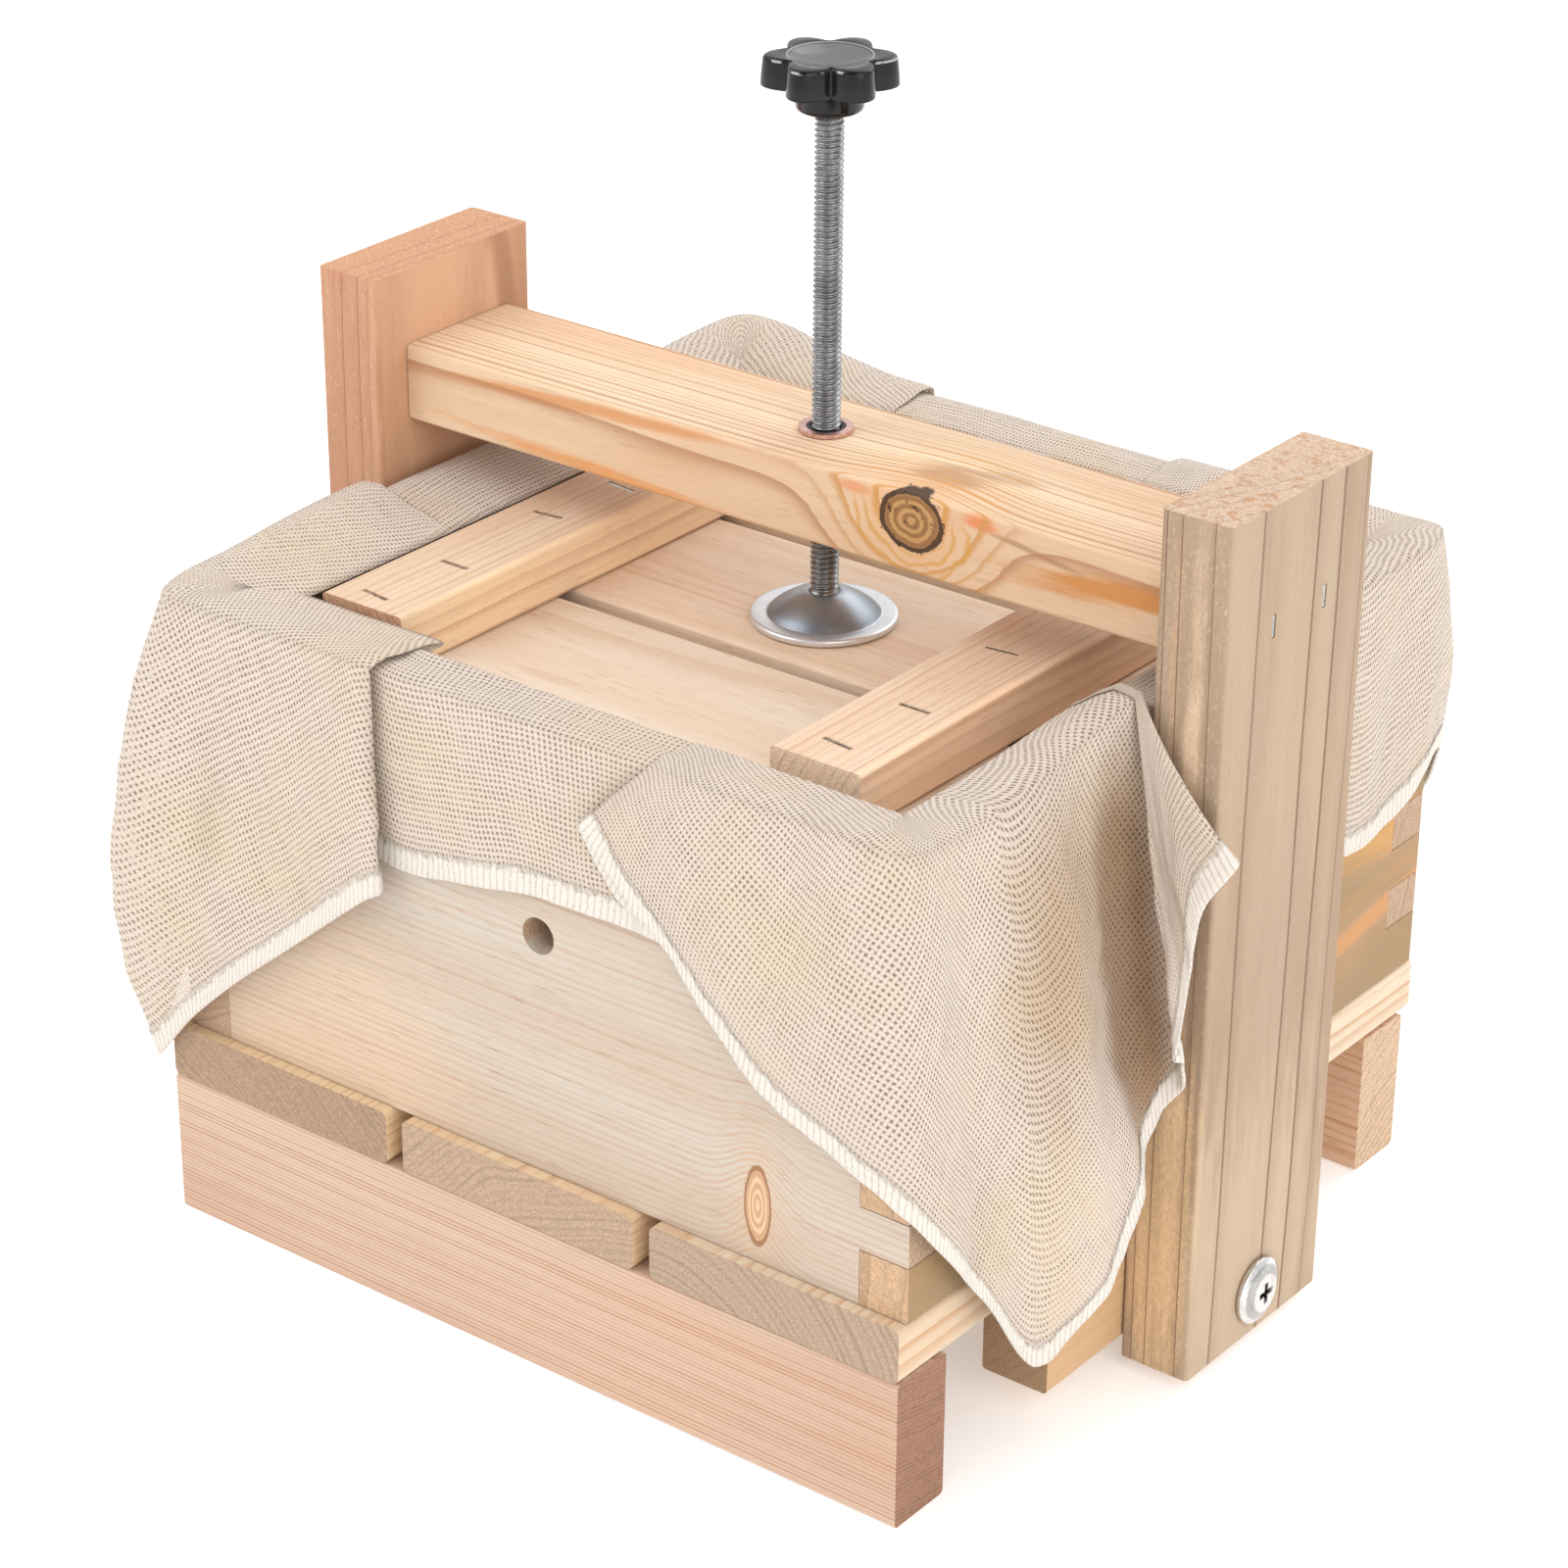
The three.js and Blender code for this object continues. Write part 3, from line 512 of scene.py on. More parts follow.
LINING_INSET = 0.8              # from the inside of the walls
WRINKLE, FINE_WRINKLE = 0.035, 0.11       # scales per mm
FOLD_GAPS = (6, 10, 15)         # how many points off, to both sides, a fold is measured from
FOLD_DEPTH = 9.0                # mm, where a fold's painted shade is full
POCKET_SHADE_CENTRE, POCKET_SHADE_REACH = (137, -68, 148), (17, 32, 64)      # painted shade over the fold by the right upright
THREAD_PITCH, STITCH_PITCH = 0.0016, 0.0021                  # metres


# The sheet is lofted round the mould through these falls, from the middle of the front over the left
# and the rear back to the front. Each gives, in mm, where the cloth leaves the rim's outer edge, the
# middle of its fall, its hem, and how far it stands inwards just below the rim.
FALLS = [("front", [
    ((40, 0.7, 188.3), (40, 1.8, 165), (40, 2.2, 143), 1),
    ((20, 0.7, 188.4), (20, 2.6, 165), (20, 2.6, 143), 1),
    ((0, 0.7, 188.4), (0, 2, 165), (2, 2, 141.6), 1),
    ((-20, 0.7, 188.4), (-20, 2.8, 165), (-18, 2.8, 138), 1),
    ((-40, 0.7, 188.3), (-38, 2, 165), (-37, 2, 134.4), 1),
    ((-55, 0.7, 188.3), (-57, 1.2, 165), (-58, 1.4, 137), 1),
    ((-50, 1.8, 189), (-49, 2.8, 163), (-48, 3.1, 134), 1),
    ((-44.5, 3.6, 190), (-42, 5.2, 160), (-40, 5.8, 129.8), 9),
    ((-50, 4.4, 190.6), (-47, 7.2, 158), (-45, 7.4, 126.2), 9.5),
    ((-60, 4.2, 190.6), (-59, 6.6, 152), (-58, 6.8, 115.5), 9.5),
    ((-76, 3.8, 190.4), (-75, 6.4, 143), (-77, 6.2, 99.5), 9),
    ((-92, 3.6, 190.2), (-93, 7.4, 134), (-96, 6.6, 83.5), 9),
    ((-107, 3.2, 190), (-112, 8.2, 126), (-114, 6.4, 66.5), 9),
]), ("corner", [
    ((-119.6, -121.6, 190), (-137.5, -128, 114), (-129.2, -125.3, 49.6), 10),
]), ("left", [
    ((-110, 3.4, 190.4), (-104, 13.5, 122), (-112, 10.5, 66), 12),
    ((-92, 3.4, 191.4), (-88, 10, 130), (-94, 9.5, 88), 13.4),
    ((-72, 3.6, 193), (-70, 8.5, 142), (-73, 7.5, 110), 13.6),
    ((-52, 3.6, 194), (-51, 7, 152), (-51, 6.8, 127), 13.6),
    ((-38, 3.2, 193.5), (-36, 5.6, 160), (-35, 5.4, 137), 13.6),
    ((-42, 2, 191), (-41, 3.2, 165), (-41, 3.4, 141), 13.6),
    ((-50, 1, 189.2), (-50, 1.6, 165), (-50, 1.8, 141), 13.6),
    ((-30, 1.2, 190.2), (-30, 2.2, 165), (-30, 2.6, 140), 13.6),
    ((-8, 1, 190.4), (-8, 2.6, 165), (-8, 3.4, 139), 13.6),
    ((18, 1, 190.2), (18, 2, 165), (18, 2.4, 140), 13.4),
    ((45, 1, 190), (45, 2.6, 165), (45, 3, 139), 13),
    ((58, 1, 190), (60, 1.4, 165), (62, 1.6, 139), 8),
    ((52, 2, 190.4), (51, 3, 163), (50, 3.2, 137), 8),
    ((44, 3.4, 191), (42, 5.2, 160), (40.5, 5.4, 133), 8),
    ((56, 4, 191.5), (55, 6.6, 152), (56, 6.4, 121), 8),
    ((78, 3.8, 192.5), (77, 6.2, 140), (78, 6.2, 101), 8),
    ((100, 3.4, 195), (101, 6.4, 130), (100, 6.4, 82), 6),
]), ("corner", [
    ((-120, 123.6, 197), (-126.5, 127.5, 120), (-126, 128, 62), 4),
]), ("rear", [
    ((-104, 3.4, 197.5), (-102, 5.8, 128), (-106, 6, 80), 4),
    ((-86, 3.4, 194), (-84, 6, 140), (-86, 6, 98), 3),
    ((-66, 3.4, 191), (-62, 5.4, 152), (-62, 5.8, 120), 2),
    ((-48, 3, 190.4), (-44, 4.8, 160), (-43, 5.2, 134), 1),
    ((-53, 1.8, 189.4), (-51, 3, 163), (-51, 3.2, 137), 1),
    ((-58, 0.8, 189), (-58, 1.4, 165), (-59, 1.6, 139), 1),
    ((-30, 0.8, 189.6), (-30, 3.2, 165), (-30, 3.4, 140), 1),
    ((-5, 0.8, 189.4), (-5, 2, 165), (-5, 2.4, 142), 1),
    ((22, 0.8, 189.2), (22, 3, 165), (22, 3.2, 140), 1),
    ((50, 0.8, 189.2), (50, 1.6, 165), (52, 1.8, 139), 1),
    ((44, 1.8, 189.6), (42, 3, 163), (41, 3.2, 136), 1),
    ((38, 3.2, 190), (35, 5, 160), (33, 5.4, 131), 1),
    ((50, 3.8, 190.2), (49, 6.2, 148), (50, 6.2, 115), 1),
    ((72, 3.6, 190.6), (72, 6, 138), (74, 6, 92), 1),
    ((92, 3.4, 191.6), (94, 6.4, 128), (103, 6.2, 67), 1),
    ((108, 3, 191.8), (110, 6, 140), (114, 5.8, 92), 2),
]), ("corner", [
    ((123.6, 123.4, 191.4), (128.2, 125.2, 158), (127.6, 124.4, 126.6), 2),
]), ("right", [
    ((112, 2, 191), (112, 4.2, 156), (111, 4, 122.6), 2),
    ((96, 1.6, 190.6), (96, 3, 154), (96, 4.2, 117), 2),
    ((78, 1.6, 190.4), (78, 4, 152), (78, 3.8, 113.6), 2),
    ((60, 1.4, 190), (58, 2.6, 156), (58, 3, 120), 2),
    ((45, 1.2, 189.6), (44, 2.2, 160), (43, 2.3, 133), 2),
    ((30, 0.8, 189), (30, 1.6, 165), (30, 1.9, 138), 2),
    ((8, 0.8, 189), (8, 2, 165), (8, 2.2, 140), 2),
    ((-14, 0.8, 190), (-14, 1.5, 165), (-14, 1.9, 140), 2),
    ((-22, 0.9, 192), (-22, 1.6, 170), (-22, 1.8, 142), 2),
    ((-26, 1, 195.5), (-27.4, 5.5, 176), (-27.8, 9, 150), 3),
    ((-28.4, 1.4, 198.5), (-29.2, 12.5, 178), (-29.4, 26, 160), 4),
    ((-30.6, 2.2, 199.6), (-31.6, 17, 179), (-31.5, 33.4, 162.8), 4),
    ((-31.6, 2.4, 199.6), (-34, 15, 170), (-33.6, 25.8, 149), 4),
    ((-32.4, 2.4, 199.3), (-35, 14, 163), (-34.6, 23.6, 131), 4),
    ((-33.2, 2.4, 199.2), (-36, 11.8, 156), (-35.6, 21.8, 104), 4),
    ((-33, 2.2, 198.8), (-33.4, 10.8, 152), (-33, 20.8, 97), 4),
    ((-31.8, 1.8, 198.4), (-29.4, 9.4, 147), (-29.2, 19, 92), 4),
    ((-35, 1.6, 197.8), (-31.5, 5.6, 143), (-30.5, 15, 86), 4),
    ((-44, 1.4, 196.4), (-43, 4, 138), (-38, 14, 76), 4),
    ((-56, 1.4, 194.2), (-59, 10, 134), (-46, 17.6, 64), 3),
    ((-70, 1.2, 191.6), (-76, 18.5, 124), (-61, 17.4, 45), 2),
    ((-88, 1.4, 190.2), (-88, 13.5, 116), (-78.3, 12, 31), 2),
    ((-105, 1.8, 189.8), (-106, 7.2, 124), (-97, 7.2, 58), 2),
]), ("corner", [
    ((123.4, -121.8, 189.8), (129.2, -125, 138), (129.6, -123.8, 92), 2),
]), ("front", [
    ((108, 3.2, 189.6), (107, 6.2, 145), (110.9, 5.8, 102.2), 2),
    ((92, 3.4, 189.6), (86, 6.8, 152), (82, 6.2, 116.8), 2),
    ((77, 3.4, 189.7), (68, 6.6, 160), (66.5, 6, 130), 2),
    ((63, 3.4, 189.8), (53, 6.4, 168), (52.5, 6, 143.5), 2),
    ((53, 3, 189.9), (43, 5.8, 175), (38, 5.6, 157), 2),
    ((46, 2.2, 189.6), (35.5, 4.6, 179), (25.6, 5, 168), 2),
    ((50, 1.4, 189), (45, 3, 168), (38, 3.4, 150), 1),
    ((58, 0.7, 188.3), (57, 1.3, 165), (56, 1.7, 142.6), 1),
])]


def beside(side, along, out, z):
    """A point along the mould's side and out from its wall; a corner's point is x, y and z already."""
    (x0, y0), (x1, y1) = OUTER
    return {"front": (along, y0 - out, z), "left": (x0 - out, along, z),
            "rear": (along, y1 + out, z), "right": (x1 + out, along, z),
            "corner": (along, out, z)}[side]


def smooth_loop(points, steps):
    """Catmull-Rom through a closed run of points, with its own step count for each span."""
    out = []
    count = len(points)
    for i in range(count):
        p0, p1, p2, p3 = (points[(i + k) % count] for k in (-1, 0, 1, 2))
        t = np.linspace(0, 1, steps[i], endpoint=False)[:, None]
        g0, g1, g2 = (max(np.linalg.norm(b - a), 1e-3) ** 0.5 for a, b in ((p0, p1), (p1, p2), (p2, p3)))
        m1 = ((p1 - p0) / g0 - (p2 - p0) / (g0 + g1) + (p2 - p1) / g1) * g1
        m2 = ((p2 - p1) / g1 - (p3 - p1) / (g1 + g2) + (p3 - p2) / g2) * g1
        out.append((2 * t**3 - 3 * t**2 + 1) * p1 + (t**3 - 2 * t**2 + t) * m1
                   + (-2 * t**3 + 3 * t**2) * p2 + (t**3 - t**2) * m2)
    return np.concatenate(out)


def cloth_edges():
    """The falls joined smoothly: their rims, middles and hems, and how far each stands inwards."""
    falls = [(side, fall) for side, group in FALLS for fall in group]
    rims, middles, hems = (np.array([beside(side, *fall[k]) for side, fall in falls]) for k in range(3))
    ledges = np.array([fall[3] for side, fall in falls], float)
    reach = np.linalg.norm(np.roll(hems, -1, 0) - hems, axis=1)
    steps = np.maximum(3, np.round(reach / POINT_STEP).astype(int))
    joined = smooth_loop(np.hstack([rims, middles, hems]), steps)
    ledge = smooth_loop(np.repeat(ledges[:, None], 3, 1), steps)[:, 0]
    return joined[:, 0:3], joined[:, 3:6], joined[:, 6:9], ledge


def cloth_grid():
    """Rows of points, hem first, over the rim and down the lining to near the floor's centre."""
    rim, middle, hem, ledge = cloth_edges()
    rows = []
    for v in np.linspace(1, 0, FALL_ROWS):
        rows.append(rim * (1 - v) * (1 - 2 * v) + 4 * middle * v * (1 - v) + hem * v * (2 * v - 1))
    low, high = np.array(INNER[0]) + LINING_INSET, np.array(INNER[1]) - LINING_INSET
    anchor = np.clip(rim[:, :2], low, high)
    inward = anchor - rim[:, :2]
    away = inward / np.maximum(np.linalg.norm(inward, axis=1), 1e-6)[:, None]
    crest = rim[:, 2]

    def row(share, further, z):
        """A row some share of the way over the rim, or further in, at a height."""
        xy = rim[:, :2] + inward * share + away * np.broadcast_to(further, crest.shape)[:, None]
        return np.column_stack([xy, np.broadcast_to(z, crest.shape)])

    # over the top of the wall, inwards below the rim, down the inside and across the floor
    rows += [row(0.12, 0, crest + 0.55), row(0.35, 0, crest + 0.9),
             row(0.65, 0, crest * 0.75 + 189.6 * 0.25), row(0.9, 0, crest * 0.4 + 189.2 * 0.6)]
    rows += [row(1, ledge * 0.25, crest * 0.25 + 188.8 * 0.75), row(1, ledge * 0.7, 188.2),
             row(1, ledge, 187.4), row(1, ledge * 0.9, 186.9),
             row(1, ledge * 0.4 + 0.3, 186.4), row(1, 0.4, 185.4)]
    rows += [row(1, 0.5, z) for z in (181, 174, 166, 156, 144, 130, 115, 100, 86, 74, 66)]
    rows.append(row(1, 1.0, 62))
    floor_middle = (low + high) / 2
    for share in (0.97, 0.85, 0.65, 0.4, 0.15):
        xy = floor_middle + (anchor - floor_middle) * share
        rows.append(np.column_stack([xy, np.full(len(xy), FLOOR_HEIGHT)]))
    return np.array(rows)


def sheet_places(grid):
    """Where each point lies on the flat sheet, in mm: its hem's place, drawn in by its share of the fall."""
    lengths = np.linalg.norm(np.diff(grid, axis=0), axis=2)
    run = np.concatenate([np.zeros((1, grid.shape[1])), np.cumsum(lengths, axis=0)])
    tail = np.linalg.norm(grid[-1, :, :2] - grid[-1, :, :2].mean(0), axis=1)
    share = 1 - run / (run[-1] + tail)
    hem = grid[0]
    step = np.linalg.norm(np.roll(hem, -1, 0) - hem, axis=1)
    signs = np.array([(-1, -1), (-1, 1), (1, 1), (1, -1)], float)
    corners = [int(np.argmax(hem[:, 0] * sx + hem[:, 1] * sy - hem[:, 2])) for sx, sy in signs]
    flat = np.zeros((len(hem), 2))
    for k in range(4):
        a, b = corners[k], corners[(k + 1) % 4]
        ids = [(a + j) % len(hem) for j in range((b - a) % len(hem))]
        travelled = np.concatenate([[0], np.cumsum(step[ids])])
        part = (travelled[:-1] / travelled[-1])[:, None]
        flat[ids] = (signs[k] * (1 - part) + signs[(k + 1) % 4] * part) * HALF_SHEET
    return flat[None] * share[:, :, None]


def runs(grid):
    """How the grid runs at each point: down its columns, and across to the next one."""
    return np.gradient(grid, axis=0), np.roll(grid, -1, 1) - np.roll(grid, 1, 1)


def unit(vectors):
    return vectors / np.maximum(np.linalg.norm(vectors, axis=2), 1e-6)[..., None]


def ruffled(grid, flat):
    """The grid with the cloth's soft wrinkles: down the falls, and faint ones over the lining."""
    down, across = runs(grid)
    normal = unit(np.cross(down, across))
    outward = grid[..., :2] - CENTRE
    fallen = np.clip((RIM - grid[..., 2]) / 45, 0, 1)
    outside = np.maximum(np.abs(outward[..., 0]) - HALF_WIDTH, np.abs(outward[..., 1]) - HALF_DEPTH)
    hanging = fallen * (outside > -0.5)
    sign = np.sign((normal[..., :2] * outward).sum(2))[..., None]
    sign[sign == 0] = 1
    out = grid.copy()
    for i in range(grid.shape[0]):
        for j in range(grid.shape[1]):
            x, y = flat[i, j]
            soft = noise.noise(Vector((x * WRINKLE, y * WRINKLE, 1.7)))
            fine = noise.noise(Vector((x * FINE_WRINKLE, y * FINE_WRINKLE, 5.1)))
            size = 0.15 + hanging[i, j] * (0.8 + 0.22 * min(outside[i, j], 6))
            lift = size * (soft + 0.35 * fine + 0.25)
            out[i, j] += normal[i, j] * sign[i, j] * max(lift, -0.1 - 0.25 * max(outside[i, j] - 1, 0))
    return out


def hollows(grid):
    """How far each point lies behind its neighbours across the sheet: 0 proud, 1 deep in a fold. It sets the
    cloth's painted shade in the folds.
    """
    outward = grid[..., :2] - CENTRE
    outward /= np.linalg.norm(outward, axis=2)[..., None] + 1e-6
    deep = np.zeros(grid.shape[:2])
    for gap in FOLD_GAPS:
        behind = (np.roll(grid, gap, 1) + np.roll(grid, -gap, 1)) / 2 - grid
        deep += (behind[..., :2] * outward).sum(2)
    deep = np.clip(deep / len(FOLD_GAPS) / FOLD_DEPTH, 0, 1)
    deep[FALL_ROWS - 1:] = 0
    return deep


def mesh_piece(name, points, faces, places=None):
    """A smooth mesh object from points in mm, with places on the flat sheet if it has them."""
    mesh = bpy.data.meshes.new(name)
    mesh.from_pydata([tuple(p) for p in np.asarray(points) / MM], [], faces)
    if places is not None:
        layer = mesh.uv_layers.new(name="sheet")
        for loop in mesh.loops:
            layer.data[loop.index].uv = places[loop.vertex_index]
    mesh.shade_smooth()
    piece = bpy.data.objects.new(name, mesh)
    scene.collection.objects.link(piece)
    return piece


def ring_faces(rows, columns, closed=False):
    """Quads between rows of points that each run round in a ring."""
    faces = []
    for i in range(rows if closed else rows - 1):
        n = (i + 1) % rows
        for j in range(columns):
            k = (j + 1) % columns
            faces.append((i * columns + j, i * columns + k, n * columns + k, n * columns + j))
    return faces


def add_cloth(grid, flat):
    """The sheet itself, closed at the middle of the mould's floor."""
    rows, columns = grid.shape[:2]
    points = grid.reshape(-1, 3)
    middle, last = len(points), (rows - 1) * columns
    points = np.vstack([points, points[-columns:].mean(0)])
    faces = ring_faces(rows, columns)
    faces += [(last + j, last + (j + 1) % columns, middle) for j in range(columns)]
    places = np.vstack([flat.reshape(-1, 2), [0, 0]]) / MM
    piece = mesh_piece("cheesecloth", points, faces, places)
    # the fold attribute carries how deep each point lies in a fold, for the cloth's painted shade
    folds = piece.data.attributes.new("fold", "FLOAT", "POINT")
    folds.data.foreach_set("value", np.append(hollows(grid).reshape(-1), 0.0).astype(np.float32))
    return piece


def add_hem(grid):
    """A flat tube of stitches round the sheet's edge, on both faces of the cloth."""
    columns = grid.shape[1]
    lowest = grid[:HEM_ROWS]
    lengths = np.linalg.norm(np.diff(lowest, axis=0), axis=2)
    falls = np.concatenate([np.zeros((1, columns)), np.cumsum(lengths, axis=0)])
    down, across = runs(lowest)
    outward = unit(np.cross(across, down))
    past_edge = (grid[0] - grid[1]) / np.linalg.norm(grid[0] - grid[1], axis=1)[:, None]
    travelled = np.concatenate([[0], np.cumsum(np.linalg.norm(np.diff(grid[0], axis=0), axis=1))])
    # the section: how far up from the sheet's edge, and how far off the cloth, in mm
    face = [(2.0, 0.42), (4.2, 0.38), (6.4, 0.42), (7.6, 0.38)]
    section = [(-0.5, 0.0), (0.0, 0.5), *face, (8.0, 0.0), *((d, -t) for d, t in face[::-1]), (0.0, -0.5)]

    def on_cloth(values, d):
        return np.array([[np.interp(max(d, 0), falls[:, j], values[:, j, k]) for k in range(3)]
                         for j in range(columns)])

    strip = [on_cloth(lowest, d) + past_edge * max(-d, 0) + on_cloth(outward, d) * t for d, t in section]
    places = [np.column_stack([travelled, np.full(columns, d)]) / MM for d, t in section]
    faces = ring_faces(len(section), columns, closed=True)
    return mesh_piece("cheesecloth_hem", np.concatenate(strip), faces, np.concatenate(places))


def thread(net, cells, across, stretch):
    """One set of threads: where they cover the cloth, and how round they stand."""
    slub = net.noise(net.vector("MULTIPLY", cells, stretch), 1.0, 2.0)
    width = net.ramp(slub, 0.3, 0.7, 0.24, 0.36, smooth=False)
    reach = net.absolute(net.minus(net.math("FRACT", across), 0.5))
    reach = net.over(reach, width)
    bulge = net.math("MAXIMUM", net.minus(1.0, net.times(reach, reach)), 0.0)
    return net.ramp(reach, 1.15, 0.9), net.math("SQRT", bulge)


def weave():
    """Open plain weave: round threads that go over and under each other, with hairy holes between. Its
    colour holds painted shade where the threads dip, in the folds and over the fold by the right upright.
    """
    material, net = new_material("cheesecloth")
    place = net.node("ShaderNodeUVMap", uv_map="sheet")
    shake = net.vector("SUBTRACT", net.noise(place, 150.0, 2.0, out=1), (0.5, 0.5, 0.5))
    place = net.vector("ADD", place, net.scaled(shake, 0.0011, 0.0011, 0))
    cells = net.scaled(place, 1 / THREAD_PITCH, 1 / THREAD_PITCH, 0)
    x, y = net.split(cells)[0:2]

    has_warp, round_warp = thread(net, cells, x, (0.5, 0.06, 0))
    has_weft, round_weft = thread(net, cells, y, (0.06, 0.5, 0))
    squares = net.plus(net.math("FLOOR", x), net.math("FLOOR", y))
    parity = net.times(net.math("FRACT", net.times(squares, 0.5)), 2.0)
    over_warp = net.times(round_warp, net.ramp(parity, 0.0, 1.0, 0.55, 1.0))
    over_weft = net.times(round_weft, net.ramp(parity, 0.0, 1.0, 1.0, 0.55))
    height = net.math("MAXIMUM", over_warp, over_weft)

    patches = net.noise(place, 24.0, 3.0)
    # painted shade: the threads darker where they dip under each other
    colour = net.mix(height, rgb(182, 164, 146), rgb(211, 197, 186))
    colour = net.mix(net.ramp(patches, 0.42, 0.68, 0.0, 0.4), colour, rgb(206, 186, 152))
    # painted shade in the folds: darker where the cloth lies behind its neighbours
    fold = net.node("ShaderNodeAttribute", out=2, attribute_name="fold")
    colour = net.mix(net.ramp(fold, 0.1, 0.9, 0.0, 0.85), colour, rgb(138, 104, 70))
    # painted shade over the fold between the right ear and the upright, broken by the patches
    away = net.vector("SUBTRACT", net.place_mm(), POCKET_SHADE_CENTRE)
    reach = net.length(net.vector("DIVIDE", away, POCKET_SHADE_REACH))
    pocket_shade = net.times(net.ramp(reach, 1.2, 0.3, 0.0, 0.62), net.ramp(patches, 0.3, 0.65, 0.65, 1.0))
    colour = net.mix(pocket_shade, colour, rgb(158, 124, 82))

    hairs = net.ramp(net.noise(cells, 1.6, 3.0, 0.7), 0.4, 0.65, 0.3, 0.65)
    threads = net.math("MAXIMUM", has_warp, has_weft)
    return finished(material, net, {
        "Base Color": colour, "Alpha": net.math("MAXIMUM", threads, hairs),
        "Normal": net.bump(height, 0.0003, 0.45), "Roughness": 0.95, "Specular IOR Level": 0.1,
        "Sheen Weight": 0.2, "Sheen Roughness": 0.6})


def overlock():
    """White yarn in close stitches across the hem."""
    material, net = new_material("hem_yarn")
    along, across = net.split(net.node("ShaderNodeUVMap", uv_map="sheet"))[0:2]
    place = net.joined(along, across)
    lean = net.plus(along, net.times(across, 0.12))
    uneven = net.noise(place, 700.0, 2.0)
    turn = net.plus(net.over(lean, STITCH_PITCH), net.times(uneven, 0.7))
    stitch = net.absolute(net.minus(net.math("FRACT", turn), 0.5))
    rise = net.ramp(stitch, 0.5, 0.28)
    # painted shade: the yarn darker between the stitches
    colour = net.mix(rise, rgb(212, 202, 190), rgb(224, 216, 206))
    ragged = net.noise(place, 420.0, 3.0, 0.7)
    inner = net.times_plus(ragged, 0.006, net.minus(across, 0.003))
    cover = net.ramp(inner, 0.0084, 0.0048, 0.0, 0.95)
    gaps = net.ramp(net.times(net.ramp(stitch, 0.34, 0.5), ragged), 0.25, 0.5, 1.0, 0.8)
    return finished(material, net, {
        "Base Color": colour, "Alpha": net.times(cover, gaps), "Normal": net.bump(rise, 0.0003, 0.45),
        "Roughness": 0.9, "Specular IOR Level": 0.15, "Sheen Weight": 0.2})


smooth_grid = cloth_grid()
flat_places = sheet_places(smooth_grid)
draped = ruffled(smooth_grid, flat_places)
cloth, hem = add_cloth(draped, flat_places), add_hem(draped)
wear(cloth, weave())
wear(hem, overlock())
CLOTH_NODES = ["cheesecloth_lining"] + ["cheesecloth_corner_" + c for c in (
    "front_left", "front_right", "rear_left", "rear_right")]
for piece in (cloth, hem):
    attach(piece, "press")
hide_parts(*CLOTH_NODES)


# -------------------- metal and plastic
SCREW_X, SCREW_Y = (sum(pair) / 2 for pair in list(zip(*box_mm("threaded_rod")))[:2])
BOLT_Y, BOLT_Z = (sum(pair) / 2 for pair in list(zip(*box_mm("frame_bolt_right")))[1:])
KNOB_TOP = box_mm("star_knob")[1][2]
ROD_RADIUS, ROD_PITCH, THREAD_DEPTH = 3.9, 1.5, 0.78
LOBES, VALLEY_RADIUS, LOBE_RADIUS = 6, 12.9, 17.9
DISH_RADIUS, DISH_DEPTH = 10.9, 2.6
KNOB_PHASE = math.radians(38)
BALL_RADIUS, BALL_Z = 4.8, 177.5
BOLT_FACE, RECESS_DEPTH = 3.6, 1.7


def metal(name, low, high, rough=0.3, wear_size=1.0, dirt=0.15, metallic=1.0, shadow=None, tone=None):
    """Plated metal: two tones in fine grains, uneven gloss, faint scratches and dull spots.

    shadow (net -> factor) says how far a dark tone lies over it: painted shade in the bolts'
    recesses and round the insert's bore, painted reflection on the foot's dome.
    """
    material, net = new_material(name)
    place = net.place()
    grains = net.noise(place, 900.0, 3.0)
    patches = net.noise(place, 120.0, 3.0)
    lines = net.noise(net.scaled(place, 2500, 2500, 250), 1.0, 2.0)
    both = net.times(net.plus(grains, patches), 0.5)
    colour = net.mix(net.ramp(both, 0.4, 0.6), rgb(*low), rgb(*high))
    colour = net.mix(net.ramp(patches, 0.58, 0.72, 0.0, dirt), colour, rgb(92, 88, 84))
    if shadow:
        colour = net.mix(shadow(net), colour, rgb(*tone))
    spread = 0.25 * wear_size
    return finished(material, net, {
        "Base Color": colour, "Metallic": metallic,
        "Roughness": net.ramp(grains, 0.3, 0.7, rough * (1 - spread), rough * (1 + spread)),
        "Normal": net.bump(net.plus(lines, grains), 0.00003, 0.6 * wear_size)})


def around(net, axes, centre):
    """How far a point lies from an axis through the centre, in mm, and its two offsets."""
    parts = net.split(net.place_mm())
    a, b = (net.minus(parts["XYZ".index(k)], c) for k, c in zip(axes, centre))
    return net.math("SQRT", net.plus(net.times(a, a), net.times(b, b))), a, b


def bolt_painted_shade(net):
    """Painted shade in the cross recess of a frame bolt's head, and lighter painted shade on its turned
    chamfer.
    """
    radius, a, b = around(net, "YZ", (BOLT_Y, BOLT_Z))
    a, b = net.absolute(a), net.absolute(b)
    arms = [net.math("MAXIMUM", net.over(p, 3.1), net.over(q, 0.85))
            for p, q in ((a, b), (b, a))]
    cross = net.ramp(net.math("MINIMUM", *arms), 1.15, 0.85)
    chamfer = net.times(net.ramp(radius, 5.2, 5.8), net.ramp(radius, 8.4, 7.6))
    return net.math("MAXIMUM", cross, net.times(chamfer, 0.42))


